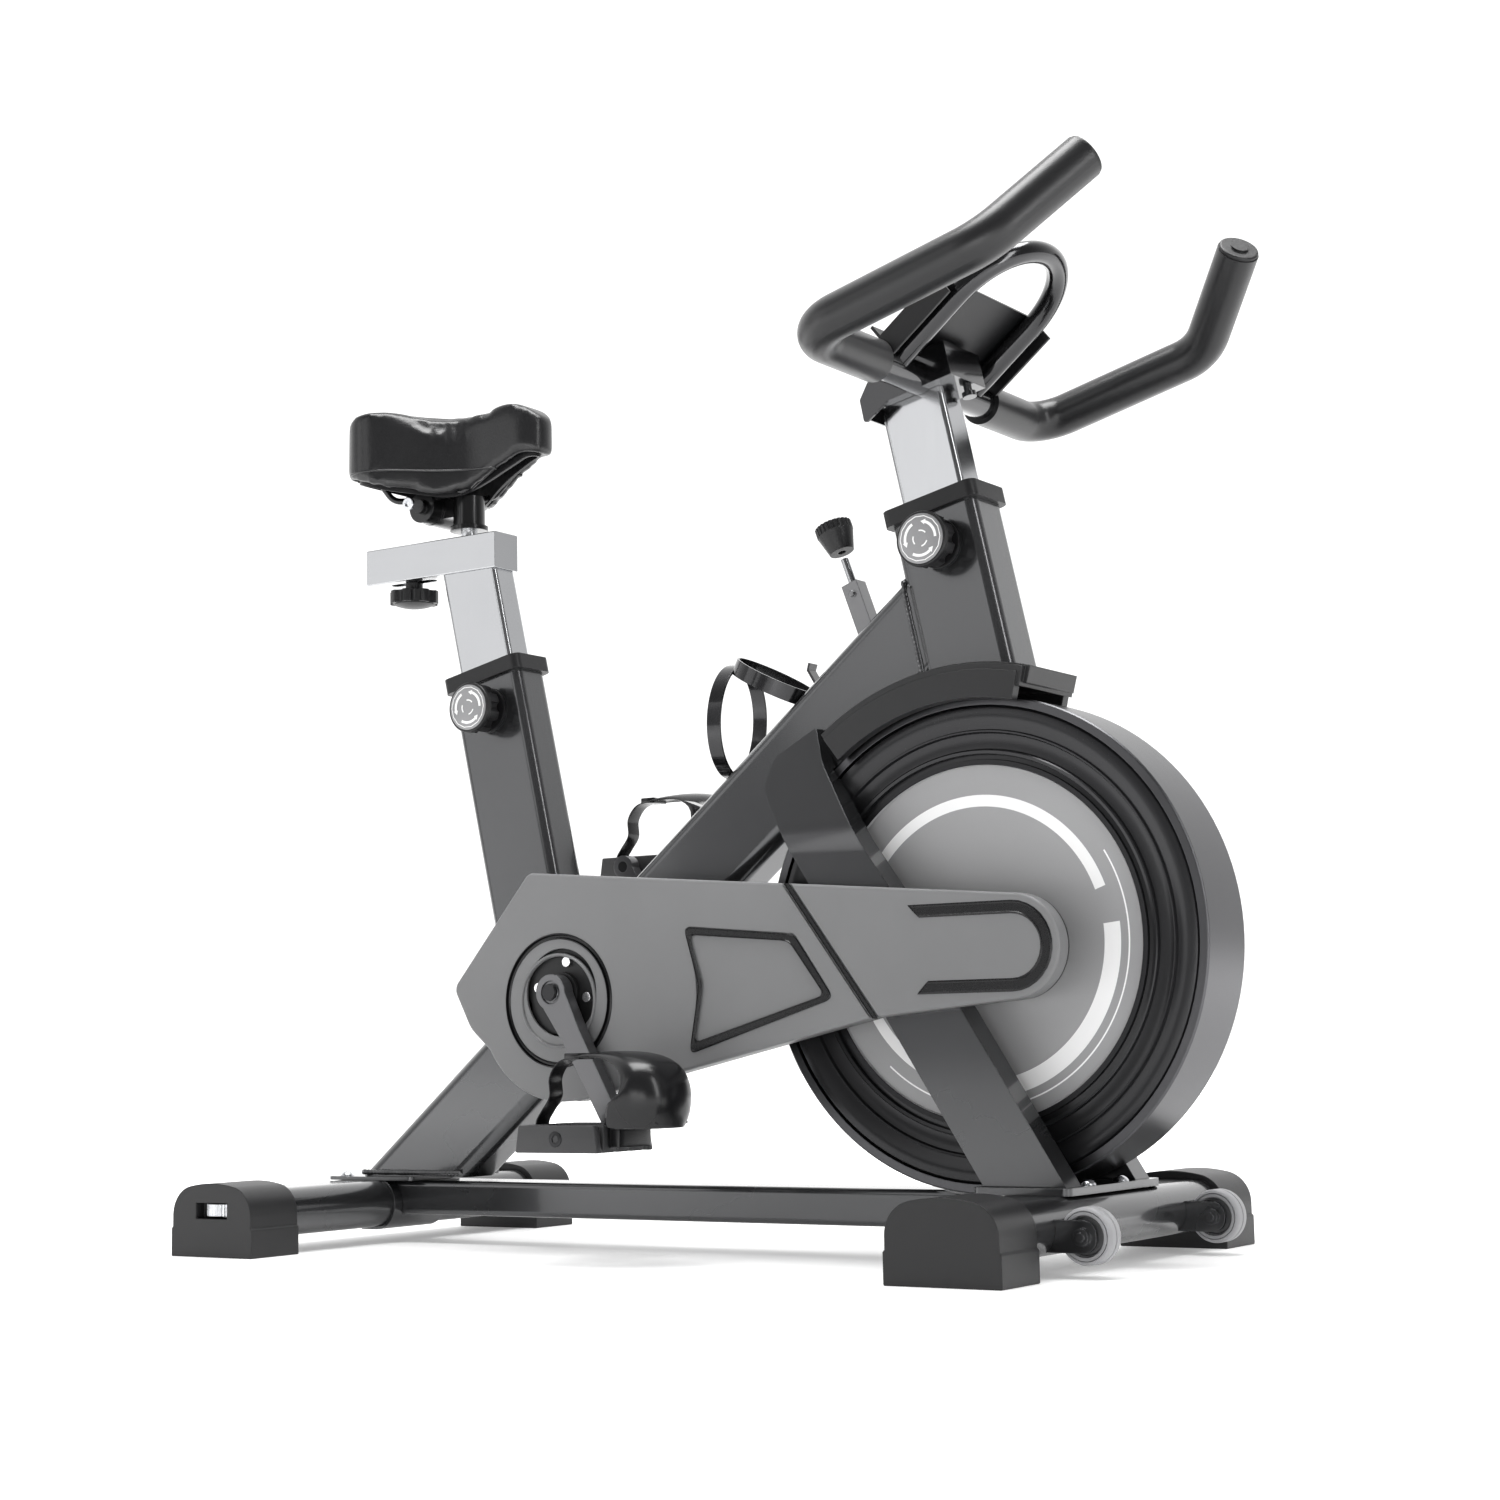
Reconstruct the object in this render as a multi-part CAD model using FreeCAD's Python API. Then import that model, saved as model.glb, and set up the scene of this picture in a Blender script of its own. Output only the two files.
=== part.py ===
import FreeCAD, Part
import math
import os

from FreeCAD import Placement, Rotation, Vector

# Indoor spin bike, millimetres. +X is forward, +Y is the rider's left, +Z is up.
# The origin is on the floor, at the middle of the whole object's length and width.

# ---------------------------------------------------------------- driving dimensions
# Base
REAR_X = -473.5
FRONT_X = 376.5
HALF_WIDTH = 262.0
BASE_TOP = 66.0
BASE_BOTTOM = 17.0
STABILIZER_DEPTH = 98.0
STABILIZER_HALF = 210.0
CAP_DEPTH = 113.5
CAP_LENGTH = 67.0
CAP_TOP = 75.0
CAP_STEP = 28.0
BEAM_BOTTOM = 30.0
BEAM_WIDTH = 60.0
SHEET = 2.5

# Frame
MAIN_ANGLE = 39.36
MAIN_START = (-485.5, 70.0)
MAIN_DEPTH = 95.0
MAIN_WIDTH = 60.0
LEAN = 12.3
SEAT_AXIS = (-308.0, 600.0)
SEAT_TUBE_DEPTH = 95.0
SEAT_TUBE_WIDTH = 50.0
SEAT_TUBE_TOP = 607.0
SEAT_POST_DEPTH = 73.0
SEAT_POST_WIDTH = 35.0
HEAD_AXIS = (255.0, 712.0)
HEAD_TUBE_DEPTH = 94.0
HEAD_TUBE_WIDTH = 60.0
HEAD_TUBE_TOP = 718.0
BAR_POST_DEPTH = 70.0
BAR_POST_WIDTH = 40.0
COLLAR_HEIGHT = 9.5
COLLAR_LIP = 5.0
SLIDE_GAP = 0.3
RUNNING_GAP = 0.05

# Flywheel and drive
WHEEL_X = 298.2
WHEEL_Z = 295.0
WHEEL_R = 232.0
WHEEL_HALF = 40.0
AXLE_R = 8.5
CRANK_X = -142.5
CRANK_Z = 260.0
CRANK_ARM = 163.0
CRANK_ANGLE = -60.0
ARM_INNER = 110.0
ARM_OUTER = 124.0
DRIVE_R = 86.0
DRIVEN_R = 21.5
BELT_THICK = 3.0
BELT_OUTER_Y = -101.0
BELT_INNER_Y = -92.0
COVER_FACE = -106.0
COVER_SPLIT = -89.0
LEG_OUTER = 86.0
LEG_THICK = 30.0

# Seat and handlebar
RAIL_BACK = -481.0
RAIL_FRONT = -295.5
RAIL_LOW = 725.5
RAIL_HIGH = 765.5
RAIL_HALF = 19.6
PILLAR_X = -347.5
TILT_X = -389.0
TILT_Z = 802.0
BAR_X = 240.5
BAR_Z = 847.0
BAR_R = 16.0
GRIP_R = 21.0
LOOP_R = 11.0
LOOP_HALF = 74.0
LOOP_SLOPE = 38.3
LOOP_ARM = 80.0


# ---------------------------------------------------------------- shared shapes
def block(x0, x1, y0, y1, z0, z1):
    return Part.makeBox(x1 - x0, y1 - y0, z1 - z0, Vector(x0, y0, z0))


def rod(start, direction, radius, length):
    return Part.makeCylinder(radius, length, Vector(*start), Vector(*direction))


def rod_y(x, z, radius, y0, y1):
    return rod((x, y0, z), (0, 1, 0), radius, y1 - y0)


def pipe_y(x, z, outer, inner, y0, y1):
    return rod_y(x, z, outer, y0, y1).cut(rod_y(x, z, inner, y0 - 1, y1 + 1))


def join(shapes):
    whole = shapes[0]
    for shape in shapes[1:]:
        whole = whole.fuse(shape)
    return whole.removeSplitter()


def rounded_wire(corners, y=0.0):
    """Closed wire in the XZ plane from (x, z, corner radius) points."""
    count = len(corners)
    spots = []
    for i in range(count):
        x, z, radius = corners[i]
        here = Vector(x, y, z)
        back = Vector(corners[i - 1][0], y, corners[i - 1][1]).sub(here).normalize()
        ahead = Vector(corners[(i + 1) % count][0], y, corners[(i + 1) % count][1]).sub(here).normalize()
        if radius <= 0:
            spots.append((here, None, here))
            continue
        half = back.getAngle(ahead) / 2
        reach = radius / math.tan(half)
        middle = back.add(ahead).normalize()
        centre = here.add(middle.multiply(radius / math.sin(half)))
        inward = here.sub(centre).normalize()
        spots.append((here.add(back.multiply(reach)), centre.add(inward.multiply(radius)),
                      here.add(ahead.multiply(reach))))
    edges = []
    for i in range(count):
        start, bow, end = spots[i]
        if bow is not None:
            edges.append(Part.Arc(start, bow, end).toShape())
        following = spots[(i + 1) % count][0]
        if end.distanceToPoint(following) > 1e-4:
            edges.append(Part.LineSegment(end, following).toShape())
    return Part.Wire(edges)


def plate(corners, y0, y1):
    """Solid between two Y planes with a rounded outline in the XZ plane."""
    return Part.Face(rounded_wire(corners, y0)).extrude(Vector(0, y1 - y0, 0))


def rounded_box_section(depth, width, radius, length):
    """Straight bar along Z with a rounded rectangular section, centred on the origin."""
    bar = Part.makeBox(depth, width, length, Vector(-depth / 2, -width / 2, 0))
    return bar.makeFillet(radius, [e for e in bar.Edges if abs(e.Vertexes[0].X - e.Vertexes[-1].X) < 1e-6
                                   and abs(e.Vertexes[0].Y - e.Vertexes[-1].Y) < 1e-6])


def lay_along(shape, start, angle):
    """Turn a shape built along Z to an angle above +X in the XZ plane, and move it to start."""
    turn = Rotation(Vector(0, 1, 0), 90 - angle)
    placed = shape.copy()
    placed.Placement = Placement(Vector(start[0], 0, start[1]), turn)
    return placed


def box_bar(depth, width, radius, start, angle, length, wall=0.0):
    bar = lay_along(rounded_box_section(depth, width, radius, length), start, angle)
    if wall <= 0:
        return bar
    hollow = rounded_box_section(depth - 2 * wall, width - 2 * wall, max(radius - wall, 1.0), length + 2)
    hollow.translate(Vector(0, 0, -1))
    return bar.cut(lay_along(hollow, start, angle))


def bent_wire(points, radii):
    """Open path of straight runs joined by tangent arcs; radii are for the inner points."""
    spots = [Vector(*p) for p in points]
    edges = []
    last = spots[0]
    for i in range(1, len(spots) - 1):
        back = spots[i - 1].sub(spots[i]).normalize()
        ahead = spots[i + 1].sub(spots[i]).normalize()
        half = back.getAngle(ahead) / 2
        reach = radii[i - 1] / math.tan(half)
        start = spots[i].add(Vector(back).multiply(reach))
        end = spots[i].add(Vector(ahead).multiply(reach))
        middle = Vector(back).add(ahead).normalize()
        centre = spots[i].add(Vector(middle).multiply(radii[i - 1] / math.sin(half)))
        bow = centre.sub(Vector(middle).multiply(radii[i - 1]))
        if last.distanceToPoint(start) > 1e-3:
            edges.append(Part.LineSegment(last, start).toShape())
        edges.append(Part.Arc(start, bow, end).toShape())
        last = end
    edges.append(Part.LineSegment(last, spots[-1]).toShape())
    return Part.Wire(edges)


def swept_rod(path, radius):
    first = path.Edges[0]
    start = first.valueAt(first.FirstParameter)
    heading = first.tangentAt(first.FirstParameter)
    circle = Part.Wire(Part.makeCircle(radius, start, heading))
    return path.makePipeShell([circle], True, False)


def lean_point(axis, height, across=0.0):
    """Point on a leaning tube's centre line at a height, moved across it (+ is forward)."""
    x = axis[0] + (axis[1] - height) * math.tan(math.radians(LEAN))
    return (x + across * math.cos(math.radians(LEAN)), height + across * math.sin(math.radians(LEAN)))


def lobed_disc(radius, lobes, notch, thickness):
    """Star knob along +Z with its base at the origin."""
    disc = Part.makeCylinder(radius, thickness)
    for i in range(lobes):
        turn = 2 * math.pi * i / lobes
        groove = Part.makeCylinder(notch, thickness + 2,
                                   Vector((radius + notch * 0.35) * math.cos(turn),
                                          (radius + notch * 0.35) * math.sin(turn), -1))
        disc = disc.cut(groove)
    return disc


def mirror_y(shape):
    return shape.mirror(Vector(0, 0, 0), Vector(0, 1, 0))


LEAN_ANGLE = 90 + LEAN
UP = Vector(-math.sin(math.radians(LEAN)), 0, math.cos(math.radians(LEAN)))


# ---------------------------------------------------------------- base
def stabilizer_section(x, y0, y1, grow=0.0):
    half = STABILIZER_DEPTH / 2 + grow
    low = BASE_BOTTOM - grow
    high = BASE_TOP + grow
    bend = 24.0 + grow
    return plate([(x - half, low, bend), (x + half, low, bend), (x + half, high, bend),
                  (x - half, high, bend)],
                 y0, y1)


def stabilizer(x):
    return stabilizer_section(x, -STABILIZER_HALF, STABILIZER_HALF).cut(
        stabilizer_section(x, -STABILIZER_HALF - 1, STABILIZER_HALF + 1, -SHEET))


def end_cap(x, side):
    half = CAP_DEPTH / 2
    inner = HALF_WIDTH - CAP_LENGTH
    body = plate([(x - half, 0, 1.5), (x + half, 0, 1.5), (x + half, CAP_STEP, 0),
                  (x + half - 1.8, CAP_STEP + 2, 0),
                  (x + half - 1.8, CAP_TOP - 9, 30), (x, CAP_TOP + 2.2, 150), (x - half + 1.8,
                                                                               CAP_TOP - 9, 30),
                  (x - half + 1.8, CAP_STEP + 2, 0), (x - half, CAP_STEP, 0)], inner, HALF_WIDTH)
    pocket = stabilizer_section(x, inner - 1, STABILIZER_HALF)
    cap = body.cut(pocket)
    return cap if side > 0 else mirror_y(cap)


LEVEL_Y = 240.0
LEVEL_WHEEL_R = 20.0
LEVEL_STUD_R = 5.0


def rear_cap(side):
    """End cap with the window, the wheel chamber and the foot recess of the levelling screw."""
    cap = end_cap(REAR_X, 1)
    chamber = rod((REAR_X, LEVEL_Y, 39.5), (0, 0, 1), LEVEL_WHEEL_R + 1.5, 15.0)
    window = block(REAR_X - 22, REAR_X + 22, 250, HALF_WIDTH + 5, 38.5, 54.5)
    stud_hole = rod((REAR_X, LEVEL_Y, -1), (0, 0, 1), LEVEL_STUD_R + RUNNING_GAP, 50.0)
    foot_recess = rod((REAR_X, LEVEL_Y, -1), (0, 0, 1), 15.0, 15.0)
    for cutter in (chamber, window, stud_hole, foot_recess):
        cap = cap.cut(cutter)
    return cap if side > 0 else mirror_y(cap)


def level_foot(side):
    wheel = Part.makeCylinder(LEVEL_WHEEL_R, 12.0, Vector(0, 0, 41))
    ribs = 36
    for i in range(ribs):
        turn = 2 * math.pi * i / ribs
        wheel = wheel.cut(Part.makeCylinder(0.9, 14.0, Vector(LEVEL_WHEEL_R * math.cos(turn),
                                                              LEVEL_WHEEL_R * math.sin(turn), 40)))
    stud = Part.makeCylinder(LEVEL_STUD_R, 40.0, Vector(0, 0, 6))
    pad = Part.makeCone(13.0, 10.0, 7.0, Vector(0, 0, 2))
    foot = join([wheel, stud, pad])
    foot.translate(Vector(REAR_X, side * LEVEL_Y, 0))
    return foot


def base_beam():
    beam = plate([(REAR_X + 20, BEAM_BOTTOM, 0), (FRONT_X - 20, BEAM_BOTTOM, 0),
                  (FRONT_X - 20, BASE_TOP, 0),
                  (REAR_X + 20, BASE_TOP, 0)], -BEAM_WIDTH / 2, BEAM_WIDTH / 2)
    long_edges = [e for e in beam.Edges if abs(e.Length - (FRONT_X - REAR_X - 40)) < 0.1]
    beam = beam.makeFillet(6.0, long_edges)
    hollow = block(REAR_X, FRONT_X, -BEAM_WIDTH / 2 + SHEET, BEAM_WIDTH / 2 - SHEET,
                   BEAM_BOTTOM + SHEET, BASE_TOP - SHEET)
    beam = beam.cut(hollow)
    dish = rod_y(WHEEL_X, WHEEL_Z, WHEEL_R + 3.0, -60, 60)
    under = rod_y(WHEEL_X, WHEEL_Z, WHEEL_R + 3.0 + SHEET, -60, 60)
    roof = under.common(block(REAR_X, FRONT_X, -BEAM_WIDTH / 2 + 0.5, BEAM_WIDTH / 2 - 0.5,
                              BEAM_BOTTOM, BASE_TOP - SHEET / 2))
    beam = beam.fuse(roof).cut(dish)
    for x in (REAR_X, FRONT_X):
        beam = beam.cut(stabilizer_section(x, -60, 60, 0.05 if x > 0 else 3.05))
    return beam


def stabilizer_plates():
    """Cradle that hugs the rear tube, and the flat plate under the fork legs."""
    shell = stabilizer_section(REAR_X, -42, 42, 3.0).cut(stabilizer_section(REAR_X, -43, 43))
    shell = shell.common(block(REAR_X + 4, REAR_X + 70, -50, 50, 0, BASE_TOP - 1))
    top = block(REAR_X - 46, REAR_X + 75, -42, 42, BASE_TOP, BASE_TOP + 4)
    top = top.makeFillet(6.0, [e for e in top.Edges if abs(e.Length - 4) < 0.01])
    front = block(FRONT_X - 62, FRONT_X + 36, -96, 96, BASE_TOP, BASE_TOP + 7)
    front = front.makeFillet(8.0, [e for e in front.Edges if abs(e.Length - 7) < 0.01])
    front = front.cut(rod_y(WHEEL_X, WHEEL_Z, WHEEL_R + 3.0, -WHEEL_HALF - 3, WHEEL_HALF + 3))
    rear = shell.fuse(top)
    return Part.makeCompound([rear.removeSplitter(), front])


def frame_bolts():
    """Domed carriage bolts with nuts through the two stabilisers."""
    bolts = []
    spots = [(REAR_X - 30, -28, BASE_TOP + 4), (REAR_X - 30, 28, BASE_TOP + 4),
             (FRONT_X + 24, -34, BASE_TOP + 7), (FRONT_X + 24, 34, BASE_TOP + 7)]
    for x, y, z in spots:
        head = Part.makeSphere(8.0, Vector(x, y, z - 2.6)).common(block(x - 9, x + 9, y - 9, y + 9, z,
                                                                        z + 9))
        shank = Part.makeCylinder(3.8, 34.0, Vector(x, y, z - 33.9))
        bolts.append(head.fuse(shank).removeSplitter())
    return bolts


def drill_for_bolts(shape):
    for bolt in frame_bolts():
        spot = bolt.BoundBox.Center
        shape = shape.cut(Part.makeCylinder(3.85, 60.0, Vector(spot.x, spot.y, 30.0)))
    return shape


WHEEL_CARRIER_X = 451.5
WHEEL_CARRIER_Z = 36.0
TRANSPORT_Y = 135.0
TRANSPORT_R = 25.0


def wheel_brackets():
    """Two-plate brackets with their axle bolts, one for each transport wheel."""
    brackets = []
    for side in (-1, 1):
        y = side * TRANSPORT_Y
        cheeks = []
        for offset in (-15.0, 12.0):
            cheeks.append(plate([(FRONT_X + 36, 22, 0), (WHEEL_CARRIER_X + 13, 22, 12.5),
                                 (WHEEL_CARRIER_X + 13, 50, 12.5), (FRONT_X + 36, 50, 0)],
                                y + offset, y + offset + 3))
        web = block(FRONT_X + 36, FRONT_X + 48.6, y - 15, y + 15, 22, 50)
        bracket = join(cheeks + [web]).cut(stabilizer_section(FRONT_X, y - 20, y + 20))
        axle = rod_y(WHEEL_CARRIER_X, WHEEL_CARRIER_Z, 4.0, y - 21, y + 20)
        head = rod_y(WHEEL_CARRIER_X, WHEEL_CARRIER_Z, 7.5, y - 20, y - 15)
        nut = rod_y(WHEEL_CARRIER_X, WHEEL_CARRIER_Z, 7.0, y + 15, y + 20)
        brackets.append(join([bracket, axle, head, nut]))
    return brackets


def transport_wheel(side):
    y = side * TRANSPORT_Y
    wheel = rod_y(WHEEL_CARRIER_X, WHEEL_CARRIER_Z, TRANSPORT_R, y - 11, y + 11)
    rims = [e for e in wheel.Edges if abs(e.Length - 2 * math.pi * TRANSPORT_R) < 0.1]
    wheel = wheel.makeFillet(2.5, rims)
    for y0 in (y - 12, y + 7):
        wheel = wheel.cut(pipe_y(WHEEL_CARRIER_X, WHEEL_CARRIER_Z, 19.0, 9.5, y0, y0 + 5))
    return wheel.cut(rod_y(WHEEL_CARRIER_X, WHEEL_CARRIER_Z, 4.0 + RUNNING_GAP, y - 12, y + 12))


# ---------------------------------------------------------------- frame tubes
def main_tube_filled(length=980.0, inset=0.0):
    slope = math.radians(MAIN_ANGLE)
    x = MAIN_START[0] + math.sin(slope) * MAIN_DEPTH / 2 - 60 * math.cos(slope)
    z = MAIN_START[1] - math.cos(slope) * MAIN_DEPTH / 2 - 60 * math.sin(slope)
    return box_bar(MAIN_DEPTH - 2 * inset, MAIN_WIDTH - 2 * inset, 14.0 - inset, (x, z), MAIN_ANGLE,
                   length)


def head_tube_filled(grow=0.0):
    low = lean_point(HEAD_AXIS, 520.0)
    high = lean_point(HEAD_AXIS, HEAD_TUBE_TOP)
    length = math.dist(low, high)
    return box_bar(HEAD_TUBE_DEPTH + 2 * grow, HEAD_TUBE_WIDTH + 2 * grow, 10.0 + grow, low, LEAN_ANGLE,
                   length)


WHEEL_CLEARANCE = rod_y(WHEEL_X, WHEEL_Z, WHEEL_R + 5, -60, 60)
GUARD_TOP_R = WHEEL_R + 31.0
ROD_ANGLE = 20.0
ROD_X = 147.5
ROD_Z = 657.0
ROD_DOWN = Vector(math.sin(math.radians(ROD_ANGLE)), 0, -math.cos(math.radians(ROD_ANGLE)))


def along_rod(distance):
    """Point on the brake rod's axis, a distance below the top of its housing."""
    return Vector(ROD_X, 0, ROD_Z).add(Vector(ROD_DOWN).multiply(distance))


def brake_passage():
    """Square well that lets the brake rod and its pad pass through the main tube."""
    well = Part.makeBox(70.0, 26.0, 110.0, Vector(-35.0, -13.0, 0))
    well.Placement = Placement(along_rod(190.0), Rotation(Vector(0, 0, 1), ROD_DOWN))
    bore = rod(along_rod(10.0), ROD_DOWN, 5.0, 190.0)
    return [well.common(block(0, 400, -13, 13, 440, 560)), bore]


def main_tube():
    tube = main_tube_filled().cut(main_tube_filled(982.0, SHEET))
    tube = tube.common(block(-700, 700, -100, 100, BASE_TOP + 4, 900))
    tube = tube.cut(head_tube_filled())
    tube = tube.common(main_reach())
    tube = tube.cut(WHEEL_CLEARANCE)
    tube = tube.cut(rod_y(CRANK_X, CRANK_Z, 20.0, -60, 60))
    for cutter in brake_passage():
        tube = tube.cut(cutter)
    return biggest(tube.cut(pad_pocket()))


def main_reach():
    """Everything behind the head tube's middle plane."""
    low = lean_point(HEAD_AXIS, 400.0)
    high = lean_point(HEAD_AXIS, 900.0)
    return plate([(-700, 0, 0), (low[0], 0, 0), (low[0], 400, 0), (high[0], 900, 0), (-700, 900, 0)],
                 -100, 100)


def biggest(shape):
    return max(shape.Solids, key=lambda s: s.Volume)


def head_tube():
    hollow_low = lean_point(HEAD_AXIS, 500.0)
    hollow_high = lean_point(HEAD_AXIS, HEAD_TUBE_TOP + 5)
    hollow = box_bar(HEAD_TUBE_DEPTH - 2 * SHEET, HEAD_TUBE_WIDTH - 2 * SHEET, 8.0, hollow_low, LEAN_ANGLE,
                     math.dist(hollow_low, hollow_high))
    tube = head_tube_filled().cut(hollow)
    tube = tube.cut(rod_y(WHEEL_X, WHEEL_Z, GUARD_TOP_R, -60, 60))
    pin = pin_spot(HEAD_AXIS, HEAD_PIN_Z)
    return biggest(tube.cut(rod_y(pin[0], pin[1], 7.0, -60, 0)))


def seat_tube():
    low = lean_point(SEAT_AXIS, 215.0)
    high = lean_point(SEAT_AXIS, SEAT_TUBE_TOP)
    tube = box_bar(SEAT_TUBE_DEPTH, SEAT_TUBE_WIDTH, 10.0, low, LEAN_ANGLE, math.dist(low, high), SHEET)
    tube = tube.cut(main_tube_filled())
    pin = pin_spot(SEAT_AXIS, SEAT_PIN_Z)
    tube = tube.cut(rod_y(pin[0], pin[1], 7.0, -60, 0))
    return biggest(tube)


def collar(axis, top, depth, width, post_depth, post_width):
    """Moulded cap on a tube's mouth with the guide sleeve that the post slides in."""
    start = lean_point(axis, top)
    lip = box_bar(depth + 2 * COLLAR_LIP, width + 2 * COLLAR_LIP, 9.0, start, LEAN_ANGLE, COLLAR_HEIGHT)
    skirt_start = (start[0] - 7 * UP.x, start[1] - 7 * UP.z)
    skirt = box_bar(depth + 2 * COLLAR_LIP, width + 2 * COLLAR_LIP, 9.0, skirt_start, LEAN_ANGLE, 7.0)
    skirt = skirt.cut(box_bar(depth, width, 10.0, (skirt_start[0] - UP.x, skirt_start[1] - UP.z),
                              LEAN_ANGLE, 9.0))
    sleeve_start = (start[0] - 26 * UP.x, start[1] - 26 * UP.z)
    sleeve = box_bar(depth - 2 * SHEET, width - 2 * SHEET, 7.5, sleeve_start, LEAN_ANGLE, 27.0)
    hole_start = (start[0] - 30 * UP.x, start[1] - 30 * UP.z)
    hole = box_bar(post_depth + 2 * SLIDE_GAP, post_width + 2 * SLIDE_GAP, 5.0, hole_start, LEAN_ANGLE,
                   60.0)
    return join([lip, skirt, sleeve]).cut(hole)


def tube_collars():
    seat = collar(SEAT_AXIS, SEAT_TUBE_TOP, SEAT_TUBE_DEPTH, SEAT_TUBE_WIDTH, SEAT_POST_DEPTH,
                  SEAT_POST_WIDTH)
    head = collar(HEAD_AXIS, HEAD_TUBE_TOP, HEAD_TUBE_DEPTH, HEAD_TUBE_WIDTH, BAR_POST_DEPTH,
                  BAR_POST_WIDTH)
    bushes = [pin_bush(SEAT_AXIS, SEAT_PIN_Z, SEAT_TUBE_WIDTH / 2),
              pin_bush(HEAD_AXIS, HEAD_PIN_Z, HEAD_TUBE_WIDTH / 2)]
    return Part.makeCompound([seat, head] + bushes)


LEG_TOP = 512.0


def leg_blank(inset):
    """One fork leg: its side outline, bowed outwards from the main tube down to the base."""
    outline = plate([(322 + inset * 1.2, BASE_TOP + 7, 0), (116 + inset * 1.2, 396, 160),
                     (78 + inset, 452, 25),
                     (82 + inset, 484 - inset * 0.7, 18), (125, LEG_TOP - inset * 2, 2),
                     (141 - inset * 1.3, 474 - inset, 60), (232 - inset * 1.2, 347, 90),
                     (405 - inset * 1.2, BASE_TOP + 7, 0)], -120, 0)
    outer = LEG_OUTER - inset
    inner = LEG_OUTER - LEG_THICK + inset
    bow = [(-outer, BASE_TOP + 7, 0), (-outer, 400, 80), (-37 + inset * 0.5, LEG_TOP + 5, 0),
           (-30.2, LEG_TOP + 5, 0), (-30.2, 486 - inset, 0), (-inner, 396, 60), (-inner, BASE_TOP + 7, 0)]
    slab = plate(bow, -700, 0)
    slab.rotate(Vector(0, 0, 0), Vector(0, 0, 1), 90)
    return outline.common(slab)


def fork_leg():
    leg = leg_blank(0.0)
    hollow = leg_blank(3.0)
    leg = leg.cut(hollow)
    lug = plate([(190, WHEEL_Z - 26, 0), (WHEEL_X + 26, WHEEL_Z - 26, 25.5),
                 (WHEEL_X + 26, WHEEL_Z + 26, 25.5),
                 (190, WHEEL_Z + 26, 0)], -78, -62)
    lug = lug.cut(leg_blank(0.0))
    leg = join([leg, biggest(lug)])
    leg = leg.cut(rod_y(WHEEL_X, WHEEL_Z, 17.5, -130, -20))
    return leg


def fork_legs():
    swept = pipe_y(WHEEL_X, WHEEL_Z, WHEEL_R + 1.5, 180.0, -WHEEL_HALF - 1, WHEEL_HALF + 1)
    right = biggest(fork_leg().cut(swept))
    return Part.makeCompound([right, mirror_y(right)])


def bottom_bracket_shell():
    shell = pipe_y(CRANK_X, CRANK_Z, 20.0, 17.0, -86.0, 62.0)
    return shell


def bearings():
    """Sealed ball bearings of the crank spindle and of the flywheel axle."""
    rings = []
    for y in (-84.0, 48.0):
        rings.append(pipe_y(CRANK_X, CRANK_Z, 17.0, AXLE_R + RUNNING_GAP, y, y + 12))
    for y in (-78.0, 66.0):
        rings.append(pipe_y(WHEEL_X, WHEEL_Z, 17.5, AXLE_R + RUNNING_GAP, y, y + 12))
    return rings


# ---------------------------------------------------------------- chain cover and guard
NOSE_X = 368.5
NOSE_Z = 288.0
NOSE_R = 48.0
HUB_COVER_R = 103.0


def cover_shape(inset, y0, y1):
    body = plate([(-184.5 + inset * 0.6, 382.5 - inset, 12), (-284 + inset * 1.2, 268, 12),
                  (-262 + inset * 0.7, 226, 40), (-200, 172, 0), (-124.2 + inset * 0.2, 151.4 + inset, 0),
                  (222.5, 227 + inset, 60), (NOSE_X, 240.0 + inset, 0), (NOSE_X, 336.0 - inset,
                                                                         0)], y0, y1)
    return join([body, rod_y(CRANK_X - 4, CRANK_Z - 6, HUB_COVER_R - inset, y0, y1),
                 rod_y(NOSE_X, NOSE_Z, NOSE_R - inset, y0, y1)])


def panel_recess(depth):
    """Sunken panel between the crank and the groove."""
    return plate([(9, 320, 6), (137, 308, 6), (180, 246, 8), (14, 196, 6), (28, 262, 140)],
                 COVER_FACE - 1, COVER_FACE + depth)


def chain_cover_outer():
    cover = cover_shape(0.0, COVER_FACE, COVER_SPLIT)
    front_edges = [e for e in cover.Edges if e.BoundBox.YMax < COVER_FACE + 0.01]
    cover = cover.makeFillet(3.0, front_edges)
    cover = cover.cut(cover_shape(2.5, COVER_FACE + 2.5, COVER_SPLIT + 1))
    groove = plate([(124, 356, 0), (134, 356, 0), (229, 226, 0), (219, 226, 0)], COVER_FACE - 1,
                   COVER_FACE + 1.5)
    cover = cover.cut(groove)
    cover = cover.cut(panel_recess(1.6))
    ring = pipe_y(CRANK_X - 4, CRANK_Z - 8, 66.0, 62.0, COVER_FACE - 1, COVER_FACE + 1.4)
    cover = cover.cut(ring)
    return cover.cut(rod_y(CRANK_X, CRANK_Z, 44.0, -130, -50))


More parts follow.
